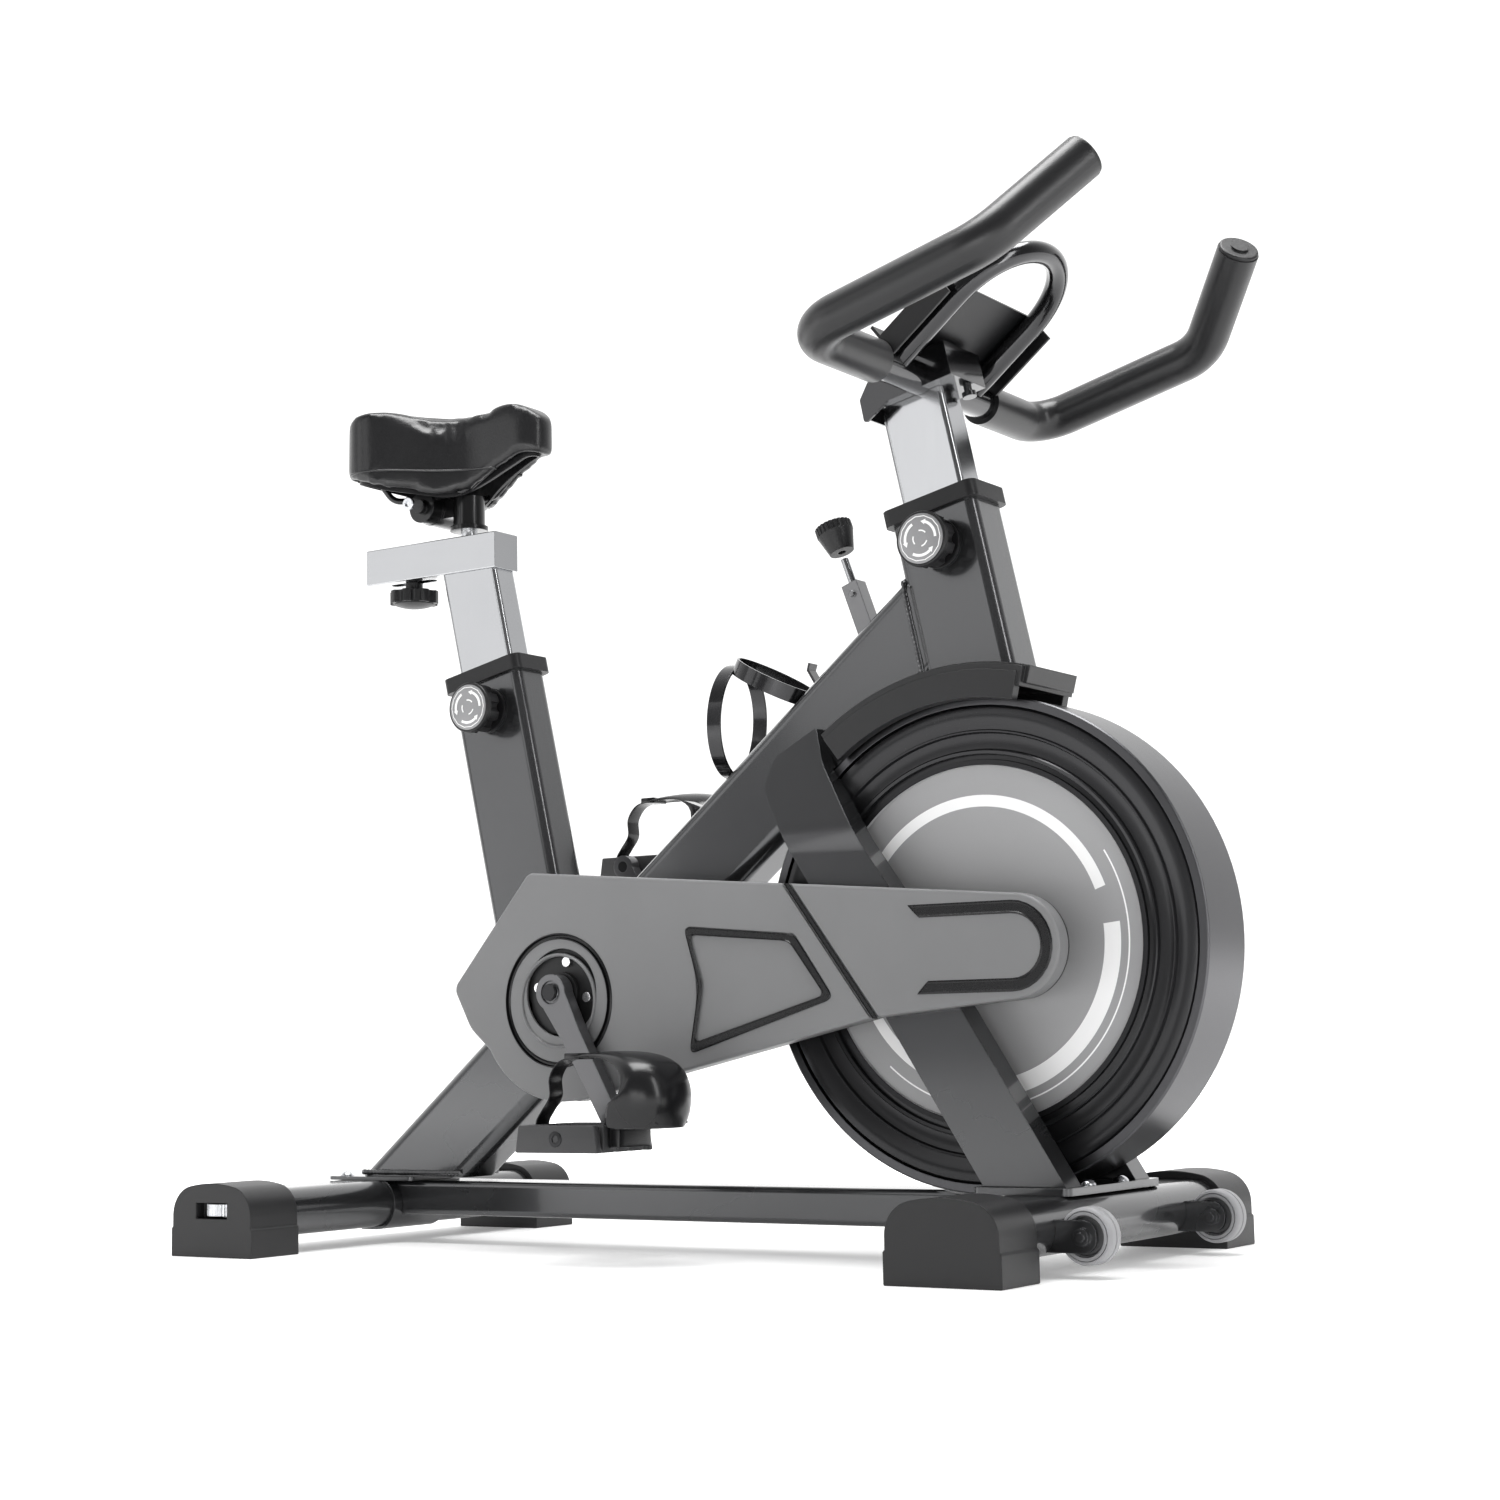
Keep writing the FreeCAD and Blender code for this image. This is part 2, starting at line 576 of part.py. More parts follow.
def chain_cover_inner():
    back = cover_shape(0.0, COVER_SPLIT, COVER_SPLIT + 2.4)
    tub = cover_shape(5.0, COVER_SPLIT + 2.4, -64.0).cut(cover_shape(7.5, COVER_SPLIT - 1, -66.4))
    tub = tub.common(block(-400, 60, -120, 0, 0, 500))
    wall = cover_shape(5.0, COVER_SPLIT + 2.4, -64.0).common(block(57.6, 60, -120, 0, 0, 500))
    shell = join([back, tub, wall])
    shell = shell.cut(cover_shape(9.0, COVER_SPLIT - 1, -66.4).common(block(-400, 55, -120, 0, 0, 500)))
    shell = shell.cut(rod_y(CRANK_X, CRANK_Z, 20.05, -130, -50))
    return shell.cut(rod_y(WHEEL_X, WHEEL_Z, 26.0, -130, -50))


def sector(inner, outer, start, stop, y0, y1):
    ring = pipe_y(WHEEL_X, WHEEL_Z, outer, inner, y0, y1)
    reach = outer * 1.6
    wedge = [(WHEEL_X, WHEEL_Z, 0)]
    steps = 4
    for i in range(steps + 1):
        turn = math.radians(start + (stop - start) * i / steps)
        wedge.append((WHEEL_X + reach * math.cos(turn), WHEEL_Z + reach * math.sin(turn), 0))
    return ring.common(plate(wedge, y0 - 1, y1 + 1))


GUARD_START = 76.0
GUARD_STOP = 127.5


def wheel_guard():
    """Moulded guard over the top of the flywheel: a roof and two side skirts."""
    roof = sector(WHEEL_R + 10, GUARD_TOP_R - 2, GUARD_START, GUARD_STOP, -54, 54)
    skirts = [sector(WHEEL_R - 4, GUARD_TOP_R - 8, GUARD_START + 1, GUARD_STOP, -56, -45),
              sector(WHEEL_R - 4, GUARD_TOP_R - 8, GUARD_START + 1, GUARD_STOP, 45, 56)]
    rib = sector(WHEEL_R + 14, GUARD_TOP_R, GUARD_START - 1, GUARD_STOP - 12, -48, 48)
    guard = join([roof, rib] + skirts)
    guard = guard.cut(main_tube_filled())
    guard = guard.cut(leg_blank(0.0).fuse(mirror_y(leg_blank(0.0))))
    return biggest(guard.cut(pad_pocket()))


# ---------------------------------------------------------------- bottle cage and brake
def cage_frame(along, above):
    """Point above the main tube's top face: distance along it and height from it."""
    slope = math.radians(MAIN_ANGLE)
    return (MAIN_START[0] + along * math.cos(slope) - above * math.sin(slope),
            MAIN_START[1] + along * math.sin(slope) + above * math.cos(slope))


def band(points, half_width, thickness):
    """Flat strap bent through XZ points."""
    outer = []
    inner = []
    for i, here in enumerate(points):
        back = points[max(i - 1, 0)]
        ahead = points[min(i + 1, len(points) - 1)]
        dx = ahead[0] - back[0]
        dz = ahead[1] - back[1]
        size = math.hypot(dx, dz)
        outer.append((here[0] - dz / size * thickness / 2, here[1] + dx / size * thickness / 2, 0))
        inner.append((here[0] + dz / size * thickness / 2, here[1] - dx / size * thickness / 2, 0))
    return plate(outer + inner[::-1], -half_width, half_width)


def hoop(foot, top, half_width, strap):
    """Elliptical strap hoop standing between two XZ points, with its strap width across it."""
    height = math.dist(foot, top)
    ring = Part.Face(Part.Wire(Part.Ellipse(Vector(0, 0, 0), height / 2, half_width).toShape()))
    hole = Part.Face(Part.Wire(Part.Ellipse(Vector(0, 0, 0), height / 2 - 2.2,
                                            half_width - 2.2).toShape()))
    body = ring.extrude(Vector(0, 0, strap)).cut(hole.extrude(Vector(0, 0, strap)))
    body.translate(Vector(0, 0, -strap / 2))
    angle = math.degrees(math.atan2(top[1] - foot[1], top[0] - foot[0]))
    body.rotate(Vector(0, 0, 0), Vector(0, 1, 0), -angle)
    body.translate(Vector((foot[0] + top[0]) / 2, 0, (foot[1] + top[1]) / 2))
    return body


CAGE_LOW = 595.0
CAGE_HIGH = 770.0


def bottle_cage():
    base = band([cage_frame(CAGE_LOW - 8, 2.0), cage_frame(CAGE_HIGH, 2.0)], 9.0, 3.0)
    lip = band([cage_frame(CAGE_LOW, 2.0), cage_frame(CAGE_LOW - 8, 3.0),
                cage_frame(CAGE_LOW - 20, 24.0)], 9.0, 2.4)
    tab = band([cage_frame(CAGE_HIGH - 3, 2.0), cage_frame(CAGE_HIGH, 22.0),
                cage_frame(CAGE_HIGH + 6, 26.0)],
               7.0, 2.4)
    tall = hoop(cage_frame(632, 2.6), cage_frame(712, 88.0), 43.0, 16.0)
    slanted = hoop(cage_frame(748, 2.6), cage_frame(712, 88.0), 34.0, 16.0)
    return join([base, lip, tab, tall, slanted])


def brake_housing():
    """Square guide sleeve on the main tube that holds the brake rod."""
    body = Part.makeBox(18.0, 18.0, 62.0, Vector(-9.0, -9.0, 0))
    body.Placement = Placement(Vector(ROD_X, 0, ROD_Z), Rotation(Vector(0, 0, 1), ROD_DOWN))
    screw = rod(tuple(along_rod(12.0).sub(Vector(0, 12.0, 0))), (0, 1, 0), 3.0, 3.4)
    body = body.fuse(screw)
    body = body.cut(main_tube_filled())
    return biggest(body.cut(rod(along_rod(-5.0), ROD_DOWN, 4.0 + RUNNING_GAP, 100.0)))


PAD_GAP = 4.0
ROD_R = 4.0
ROD_TOP = 28.0
ROD_LENGTH = 170.0


def brake_rod():
    return rod(along_rod(-ROD_TOP), ROD_DOWN, ROD_R, ROD_LENGTH)


def brake_pad():
    """Felt-faced shoe on the rod's lower end, curved to the flywheel's rim."""
    shoe = Part.makeBox(52.0, 20.0, 60.0, Vector(-26.0, -10.0, 0))
    shoe.Placement = Placement(along_rod(128.0), Rotation(Vector(0, 0, 1), ROD_DOWN))
    shoe = shoe.common(pipe_y(WHEEL_X, WHEEL_Z, WHEEL_R + 18, WHEEL_R + PAD_GAP, -30, 30))
    return biggest(shoe.cut(rod(along_rod(-ROD_TOP), ROD_DOWN, ROD_R, ROD_LENGTH)))


def pad_pocket():
    """Room for the shoe, cut in the tube and the guard above the rim."""
    room = Part.makeBox(54.0, 22.0, 62.0, Vector(-27.0, -11.0, 0))
    room.Placement = Placement(along_rod(127.0), Rotation(Vector(0, 0, 1), ROD_DOWN))
    return room.common(pipe_y(WHEEL_X, WHEEL_Z, WHEEL_R + 19.5, WHEEL_R, -40, 40))


def brake_knob():
    """Tapered push and turn knob with a ribbed rim."""
    height = 30.0
    body = Part.makeCone(12.5, 18.5, height - 9.0)
    rim = Part.makeCylinder(18.8, 9.0, Vector(0, 0, height - 9.0))
    ribs = 24
    for i in range(ribs):
        turn = 2 * math.pi * i / ribs
        rim = rim.cut(Part.makeCylinder(1.1, 10.0, Vector(18.9 * math.cos(turn), 18.9 * math.sin(turn),
                                                          height - 9.5)))
    knob = join([body, rim])
    knob = knob.cut(Part.makeCylinder(ROD_R + RUNNING_GAP, 24.0, Vector(0, 0, -1)))
    knob.Placement = Placement(along_rod(-36.0), Rotation(Vector(0, 0, 1), Vector(ROD_DOWN).multiply(-1)))
    return knob


# ---------------------------------------------------------------- pull pins
SEAT_PIN_Z = 568.0
HEAD_PIN_Z = 679.0


def pin_spot(axis, height):
    return lean_point(axis, height)


def pull_pin(axis, height, face, post_face):
    """Steel plunger; at rest its tip stands just clear of the post so that the post can slide."""
    x, z = pin_spot(axis, height)
    return rod_y(x, z, 4.8, -face - 30, -post_face - SLIDE_GAP)


def pin_bush(axis, height, face):
    """Flanged guide of a plunger, pressed into the side of the tube."""
    x, z = pin_spot(axis, height)
    bush = join([rod_y(x, z, 24.0, -face - 3, -face), rod_y(x, z, 6.95, -face - 3, -face + SHEET + 2)])
    return bush.cut(rod_y(x, z, 4.8 + RUNNING_GAP, -face - 10, 0))


def pin_knob(axis, height, face):
    """Eight-lobed grip with a flat cap, turned and pulled together with the plunger."""
    x, z = pin_spot(axis, height)
    grip = lobed_disc(26.0, 8, 6.0, 15.0)
    grip.rotate(Vector(0, 0, 0), Vector(1, 0, 0), 90)
    grip.translate(Vector(x, -face - 13, z))
    boss = rod_y(x, z, 13.0, -face - 28, -face - 3.3)
    cap = rod_y(x, z, 27.0, -face - 34, -face - 28)
    cap = cap.makeFillet(1.5, [e for e in cap.Edges if e.BoundBox.YMax < -face - 33.9])
    knob = join([grip, boss, cap])
    return knob.cut(rod_y(x, z, 4.8 + RUNNING_GAP, -face - 30.05, 10))


# ---------------------------------------------------------------- flywheel
def flywheel_rim():
    rim = pipe_y(WHEEL_X, WHEEL_Z, WHEEL_R, WHEEL_R - 9, -WHEEL_HALF, WHEEL_HALF)
    edges = [e for e in rim.Edges if abs(e.Length - 2 * math.pi * WHEEL_R) < 0.5]
    return rim.makeChamfer(1.5, edges)


def revolve_about_wheel(profile):
    """Turn an (r, y) outline right round the flywheel's axis."""
    points = [Vector(WHEEL_X + r, y, WHEEL_Z) for r, y in profile]
    face = Part.Face(Part.makePolygon(points + [points[0]]))
    return face.revolve(Vector(WHEEL_X, 0, WHEEL_Z), Vector(0, 1, 0), 360)


def flywheel_covers():
    """Dished trim discs on both sides of the flywheel, stepped in rings."""
    outside = [(32, -33), (176, -33), (178, -37), (184, -37), (186, -33), (196, -33), (200, -38),
               (WHEEL_R - 11, -40), (WHEEL_R - 9.4, -38)]
    inside = [(WHEEL_R - 9.4, -35), (201, -35), (197, -30), (32, -30)]
    right = revolve_about_wheel(outside + inside)
    return Part.makeCompound([right, mirror_y(right)])


def flywheel_web():
    """Cast disc with its hub, between the rim and the axle."""
    profile = [(AXLE_R, -28), (26, -28), (26, -6), (198, -4), (214, -20), (WHEEL_R - 9.1, -20),
               (WHEEL_R - 9.1, 20), (214, 20), (198, 4), (26, 6), (26, 28), (AXLE_R, 28)]
    return revolve_about_wheel(profile)


def flywheel_axle():
    """Axle that turns with the flywheel, with the small belt pulley at its right end."""
    shaft = rod_y(WHEEL_X, WHEEL_Z, AXLE_R, -101.0, 92.0)
    pulley = rod_y(WHEEL_X, WHEEL_Z, DRIVEN_R - 0.3, BELT_OUTER_Y - 0.5, BELT_INNER_Y + 1.5)
    flange = rod_y(WHEEL_X, WHEEL_Z, DRIVEN_R + 3.5, BELT_INNER_Y + 0.5, BELT_INNER_Y + 2.0)
    return join([shaft, pulley, flange])


# ---------------------------------------------------------------- crank drive
def belt_loop(extra):
    """Wire of the belt's outline around both pulleys."""
    big = Vector(CRANK_X, BELT_OUTER_Y, CRANK_Z)
    small = Vector(WHEEL_X, BELT_OUTER_Y, WHEEL_Z)
    span = small.sub(big)
    reach = span.Length
    heading = math.atan2(span.z, span.x)
    spread = math.acos((DRIVE_R - DRIVEN_R) / reach)
    big_r = DRIVE_R + extra
    small_r = DRIVEN_R + extra

    def on(centre, radius, turn):
        return centre.add(Vector(radius * math.cos(turn), 0, radius * math.sin(turn)))

    top_big = on(big, big_r, heading + spread)
    top_small = on(small, small_r, heading + spread)
    low_big = on(big, big_r, heading - spread)
    low_small = on(small, small_r, heading - spread)
    edges = [Part.LineSegment(top_big, top_small).toShape(),
             Part.Arc(top_small, on(small, small_r, heading), low_small).toShape(),
             Part.LineSegment(low_small, low_big).toShape(),
             Part.Arc(low_big, on(big, big_r, heading + math.pi), top_big).toShape()]
    return Part.Face(Part.Wire(edges)).extrude(Vector(0, BELT_INNER_Y - BELT_OUTER_Y, 0))


def drive_belt():
    return belt_loop(BELT_THICK).cut(belt_loop(0.3))


def drive_pulley():
    """Large belt pulley bolted on its spider, on the crank spindle."""
    pulley = pipe_y(CRANK_X, CRANK_Z, DRIVE_R, AXLE_R, BELT_OUTER_Y, BELT_INNER_Y)
    for i in range(6):
        turn = math.radians(60 * i + 15)
        pulley = pulley.cut(rod_y(CRANK_X + 58 * math.cos(turn), CRANK_Z + 58 * math.sin(turn), 15,
                                  -110, -80))
    hub = pipe_y(CRANK_X, CRANK_Z, 20.0, AXLE_R, BELT_OUTER_Y - 6, BELT_INNER_Y)
    heads = []
    for i in range(4):
        turn = math.radians(90 * i + 80)
        heads.append(rod_y(CRANK_X + 31 * math.cos(turn), CRANK_Z + 31 * math.sin(turn), 5.0,
                           BELT_OUTER_Y - 4, BELT_INNER_Y))
    return join([pulley, hub] + heads)


def crank_spindle():
    return rod_y(CRANK_X, CRANK_Z, AXLE_R, -ARM_OUTER + 1, ARM_OUTER - 1)


def arm_tip(side):
    """Pedal axle spot; the left arm points the other way from the right one."""
    turn = math.radians(CRANK_ANGLE + (0 if side < 0 else 180))
    return (CRANK_X + CRANK_ARM * math.cos(turn), CRANK_Z + CRANK_ARM * math.sin(turn))


def crank_arm(side):
    tip = arm_tip(side)
    dx = (tip[0] - CRANK_X) / CRANK_ARM
    dz = (tip[1] - CRANK_Z) / CRANK_ARM
    y0, y1 = (-ARM_OUTER, -ARM_INNER) if side < 0 else (ARM_INNER, ARM_OUTER)

    def across(along, offset):
        return (CRANK_X + along * dx - offset * dz, CRANK_Z + along * dz + offset * dx, 0)

    shank = plate([across(6, 16), across(50, 12), across(CRANK_ARM - 4, 10.5),
                   across(CRANK_ARM - 4, -10.5),
                   across(50, -12), across(6, -16)], y0, y1)
    root = rod_y(CRANK_X, CRANK_Z, 18.0, y0, y1)
    end = rod_y(tip[0], tip[1], 12.5, y0, y1)
    arm = join([shank, root, end])
    arm = arm.cut(rod_y(CRANK_X, CRANK_Z, AXLE_R, y0 - 5, y1 + 5))
    socket = rod_y(CRANK_X, CRANK_Z, 11.5, y0 - 1, y0 + 2) if side < 0 else rod_y(CRANK_X, CRANK_Z,
                                                                                  11.5, y1 - 2, y1 + 1)
    arm = arm.cut(socket)
    return arm.cut(rod_y(tip[0], tip[1], 6.0, y0 - 5, y1 + 5))


PEDAL_INNER = 132.0
PEDAL_OUTER = 222.0
PEDAL_LENGTH = 98.0
PEDAL_HEIGHT = 26.0


def crank_hardware():
    """Spindle bolts and pedal axles."""
    pieces = []
    for side in (-1, 1):
        tip = arm_tip(side)
        if side < 0:
            bolt = rod_y(CRANK_X, CRANK_Z, 8.0, -ARM_OUTER - 3, -ARM_OUTER + 1)
            axle = rod_y(tip[0], tip[1], 6.0, -PEDAL_INNER + 3, -ARM_INNER)
            spindle = rod_y(tip[0], tip[1], 5.0, -PEDAL_OUTER + 6, -PEDAL_INNER + 3)
        else:
            bolt = rod_y(CRANK_X, CRANK_Z, 8.0, ARM_OUTER - 1, ARM_OUTER + 3)
            axle = rod_y(tip[0], tip[1], 6.0, ARM_INNER, PEDAL_INNER - 3)
            spindle = rod_y(tip[0], tip[1], 5.0, PEDAL_INNER - 3, PEDAL_OUTER - 6)
        pieces.append(bolt)
        pieces.append(join([axle, spindle]))
    return pieces


def pedal_body(side):
    """Platform pedal with ribbed tread blocks front and rear."""
    tip = arm_tip(side)
    low = tip[1] - PEDAL_HEIGHT / 2
    high = tip[1] + PEDAL_HEIGHT / 2
    back = tip[0] - PEDAL_LENGTH / 2
    front = tip[0] + PEDAL_LENGTH / 2
    body = block(back, front, -PEDAL_OUTER, -PEDAL_INNER, low, high)
    body = body.makeFillet(4.0, [e for e in body.Edges if abs(e.Length - PEDAL_HEIGHT) < 0.01])
    for x0, x1 in ((back + 12, tip[0] - 13), (tip[0] + 13, front - 12)):
        body = body.cut(block(x0, x1, -PEDAL_OUTER + 10, -PEDAL_INNER - 10, low - 1, high + 1))
    teeth = 9
    pitch = (PEDAL_OUTER - PEDAL_INNER - 8) / teeth
    for i in range(teeth):
        y = -PEDAL_OUTER + 4 + pitch * (i + 0.5)
        for x0, x1 in ((back - 1, back + 12), (front - 12, front + 1)):
            for z0, z1 in ((low - 1, low + 2.2), (high - 2.2, high + 1)):
                body = body.cut(block(x0, x1, y - pitch * 0.22, y + pitch * 0.22, z0, z1))
    body = body.cut(rod_y(tip[0], tip[1], 5.0 + RUNNING_GAP, -PEDAL_OUTER + 5.5, -PEDAL_INNER + 1))
    if side > 0:
        body = mirror_y(body)
    return body


HOOD_LENGTH = 112.0
HOOD_TOP = 78.0


def toe_cage(side):
    """Moulded toe hood on the pedal's front, with its strap to the pedal's rear."""
    tip = arm_tip(side)
    deck = tip[1] + PEDAL_HEIGHT / 2 + 0.2
    low = tip[1] - PEDAL_HEIGHT / 2

    def hood(inset):
        nose = tip[0] + HOOD_LENGTH - inset
        profile = plate([(tip[0] + 8, deck, 0), (nose, deck, 0), (nose, deck + 44, 30),
                         (nose - 52, deck + HOOD_TOP - 20 - inset, 45), (tip[0] + 8,
                                                                         deck + HOOD_TOP - 12 - inset, 0)],
                        -PEDAL_OUTER - 5, -PEDAL_INNER + 5)
        half = (PEDAL_OUTER - PEDAL_INNER) / 2 + 1 - inset
        middle = -(PEDAL_OUTER + PEDAL_INNER) / 2
        base = Part.makeBox(HOOD_LENGTH + 10 - inset, 2 * half, 90.0,
                            Vector(tip[0], middle - half, deck - 1))
        corner = [e for e in base.Edges if abs(e.Length - 90) < 0.01 and e.Vertexes[0].X > tip[0] + 60]
        base = base.makeFillet(half * 0.72, corner)
        return profile.common(base)

    shell = hood(0.0).cut(hood(3.0).fuse(block(tip[0] - 20, tip[0] + 50, -PEDAL_OUTER + 2.5,
                                               -PEDAL_INNER - 2.5,
                                               deck - 2, deck + 40)))
    foot = block(tip[0] + PEDAL_LENGTH / 2 + 0.05, tip[0] + PEDAL_LENGTH / 2 + 3.5, -PEDAL_OUTER + 12,
                 -PEDAL_INNER - 12, low + 2, deck + 3)
    floor = block(tip[0] + PEDAL_LENGTH / 2 + 0.05, tip[0] + HOOD_LENGTH - 4, -PEDAL_OUTER + 16,
                  -PEDAL_INNER - 16, deck, deck + 3)
    middle = -(PEDAL_OUTER + PEDAL_INNER) / 2
    top = deck + HOOD_TOP - 13.5
    strap = band([(tip[0] - 51, low + 12), (tip[0] - 51, deck + 2), (tip[0] - 36, deck + 26),
                  (tip[0] - 36, deck + 48), (tip[0] - 14, top - 2), (tip[0] + 12, top)], 11.0, 1.8)
    strap.translate(Vector(0, middle, 0))
    cage = join([shell, foot, floor, strap])
    cage = biggest(cage)
    return cage if side < 0 else mirror_y(cage)


# ---------------------------------------------------------------- seat
def pin_holes(shape, axis, height, count, spacing):
    for i in range(count):
        x, z = lean_point(axis, height - i * spacing * math.cos(math.radians(LEAN)))
        shape = shape.cut(rod_y(x, z, 5.2, -60, 0))
    return shape


def post(axis, low, high, depth, width, wall):
    start = lean_point(axis, low)
    end = lean_point(axis, high)
    tube = box_bar(depth, width, 5.0, start, LEAN_ANGLE, math.dist(start, end), wall)
    return tube


def seat_post():
    tube = post(SEAT_AXIS, 400.0, RAIL_LOW + 30, SEAT_POST_DEPTH, SEAT_POST_WIDTH, 2.0)
    tube = tube.common(block(-700, 0, -60, 60, 300, RAIL_LOW))
    return pin_holes(tube, SEAT_AXIS, SEAT_PIN_Z, 6, 25.0)


KNOB_X = -428.0
SLIDE_TRAVEL = 24.0


def seat_slide_rail():
    rail = block(RAIL_BACK, RAIL_FRONT, -RAIL_HALF, RAIL_HALF, RAIL_LOW, RAIL_HIGH)
    rail = rail.makeFillet(1.2, [e for e in rail.Edges if abs(e.Length - (RAIL_FRONT - RAIL_BACK)) < 0.01])
    rail = rail.cut(block(RAIL_BACK + 2, RAIL_FRONT - 2, -RAIL_HALF + 2, RAIL_HALF - 2, RAIL_LOW + 2,
                          RAIL_HIGH - 2))
    top_slot = slot(PILLAR_X, 9.0 + SLIDE_GAP, RAIL_HIGH - 5, RAIL_HIGH + 5)
    low_slot = slot(KNOB_X, 6.5, RAIL_LOW - 5, RAIL_LOW + 5)
    return rail.cut(top_slot).cut(low_slot)


def slot(x, radius, z0, z1):
    reach = SLIDE_TRAVEL + 1
    bar = block(x - reach, x + reach, -radius, radius, z0, z1)
    ends = [Part.makeCylinder(radius, z1 - z0, Vector(x - reach, 0, z0)),
            Part.makeCylinder(radius, z1 - z0, Vector(x + reach, 0, z0))]
    return join([bar] + ends)


def seat_carriage():
    """Sliding block inside the rail with the pillar that carries the saddle."""
    gap = SLIDE_GAP + 2
    slider = block(KNOB_X - 22, PILLAR_X + 18, -RAIL_HALF + gap, RAIL_HALF - gap, RAIL_LOW + gap,
                   RAIL_HIGH - gap)
    slider = slider.cut(block(KNOB_X + 14, PILLAR_X - 14, -11, 11, RAIL_LOW, RAIL_HIGH))
    pillar = Part.makeCylinder(9.0, 60.5, Vector(PILLAR_X, 0, RAIL_HIGH - 20))
    carriage = join([slider, pillar])
    return carriage.cut(Part.makeCylinder(5.0 + RUNNING_GAP, 30.0, Vector(KNOB_X, 0, RAIL_LOW - 1)))


def seat_slide_knob():
    head = lobed_disc(27.0, 8, 6.5, 14.0)
    low = RAIL_LOW - 24.0
    head.translate(Vector(KNOB_X, 0, low))
    dome = Part.makeSphere(60.0, Vector(KNOB_X, 0, low + 55.0)).common(
        Part.makeCylinder(22.0, 6.0, Vector(KNOB_X, 0, low - 5.0)))
    neck = Part.makeCylinder(9.5, 9.6, Vector(KNOB_X, 0, low + 14.0))
    stud = Part.makeCylinder(5.0, 26.0, Vector(KNOB_X, 0, RAIL_LOW - 2))
    return join([head, dome, neck, stud])


def saddle_clamp():
    """Clamp cup on the pillar with the eye that the saddle tilts in."""
    cup = Part.makeCylinder(17.5, 34.0, Vector(PILLAR_X, 0, 778.0))
    lip = Part.makeCylinder(21.0, 5.0, Vector(PILLAR_X, 0, 774.0))
    arm = block(TILT_X, PILLAR_X, -13, 13, TILT_Z - 12, TILT_Z + 8)
    eye = rod_y(TILT_X, TILT_Z, 18.0, -16, 16)
    clamp = join([cup, lip, arm, eye])
    clamp = clamp.cut(Part.makeCylinder(9.0, 36.0, Vector(PILLAR_X, 0, 770.0)))
    return clamp.cut(rod_y(TILT_X, TILT_Z, 10.0 + RUNNING_GAP, -30, 30))


SADDLE_REAR = -470.0
SADDLE_NOSE = -233.0


def saddle_plan(inset, z0, z1):
    """Pear-shaped plan of the saddle from above."""
    top = []
    stations = [(SADDLE_NOSE - inset, 0.0), (SADDLE_NOSE - 6 - inset, 16.0 - inset * 0.6),
                (SADDLE_NOSE - 30, 24.0 - inset), (SADDLE_NOSE - 90, 33.0 - inset), (SADDLE_NOSE - 130,
                                                                                     58.0 - inset),
                (SADDLE_NOSE - 165, 90.0 - inset), (SADDLE_NOSE - 195, 99.0 - inset),
                (SADDLE_REAR + 22 + inset * 0.4, 88.0 - inset), (SADDLE_REAR + 4 + inset, 50.0 - inset),
                (SADDLE_REAR + 9 + inset, 0.0)]
    for x, y in stations:
        top.append(Vector(x, y, z0))
    for x, y in stations[-2:0:-1]:
        top.append(Vector(x, -y, z0))
    curve = Part.BSplineCurve()
    curve.interpolate(top, PeriodicFlag=True)
    return Part.Face(Part.Wire(curve.toShape())).extrude(Vector(0, 0, z1 - z0))


def saddle_side(drop, y0, y1):
    """Side outline of the pad."""
    corners = [(SADDLE_REAR - 5, 836 + drop, 0), (-400, 814 + drop, 60), (-345, 805 + drop, 60),
               (-290, 831 + drop, 80),
               (-255, 846 + drop, 30), (SADDLE_NOSE + 5, 838 + drop, 0), (SADDLE_NOSE + 5, 880 + drop, 14),
               (-265, 907 + drop, 50), (-335, 894 + drop, 160), (-410, 901 + drop, 90),
               (SADDLE_REAR - 5, 888 + drop, 24)]
    return plate(corners, y0, y1)


def saddle_pad():
    pad = saddle_plan(0.0, 780, 930).common(saddle_side(0.0, -120, 120))
    hollow = saddle_plan(14.0, 780, 930).common(saddle_side(-26.0, -120, 120))
    return biggest(pad.cut(hollow))


def saddle_shell():
    """Moulded base under the pad."""
    shell = saddle_plan(14.3, 780, 930).common(saddle_side(-26.3, -120, 120))
    shell = shell.common(saddle_side(0.5, -120, 120))
    hollow = saddle_plan(18.0, 780, 930).common(saddle_side(-30.0, -120, 120))
    return biggest(shell.cut(hollow))


def saddle_rails():
    """Barrel of the tilt joint with the two wire rails that carry the saddle shell."""
    barrel = rod_y(TILT_X, TILT_Z, 10.0, -32, 32)
    heads = [rod_y(TILT_X, TILT_Z, 17.5, -32, -16.3), rod_y(TILT_X, TILT_Z, 17.5, 16.3, 32),
             rod_y(TILT_X, TILT_Z, 8.0, -38, -32), rod_y(TILT_X, TILT_Z, 8.0, 32, 38)]
    pieces = [barrel] + heads
    for side in (-1, 1):
        route = bent_wire([(-446, side * 50, 846), (-428, side * 34, TILT_Z + 11),
                           (-398, side * 24, TILT_Z + 9),
                           (-330, side * 24, TILT_Z + 13), (-268, side * 12, 856)], [16, 16, 26])
        pieces.append(swept_rod(route, 3.5))
        pieces.append(rod_y(TILT_X, TILT_Z + 9, 6.0, side * 24 - 5, side * 24 + 5))
    return join(pieces)


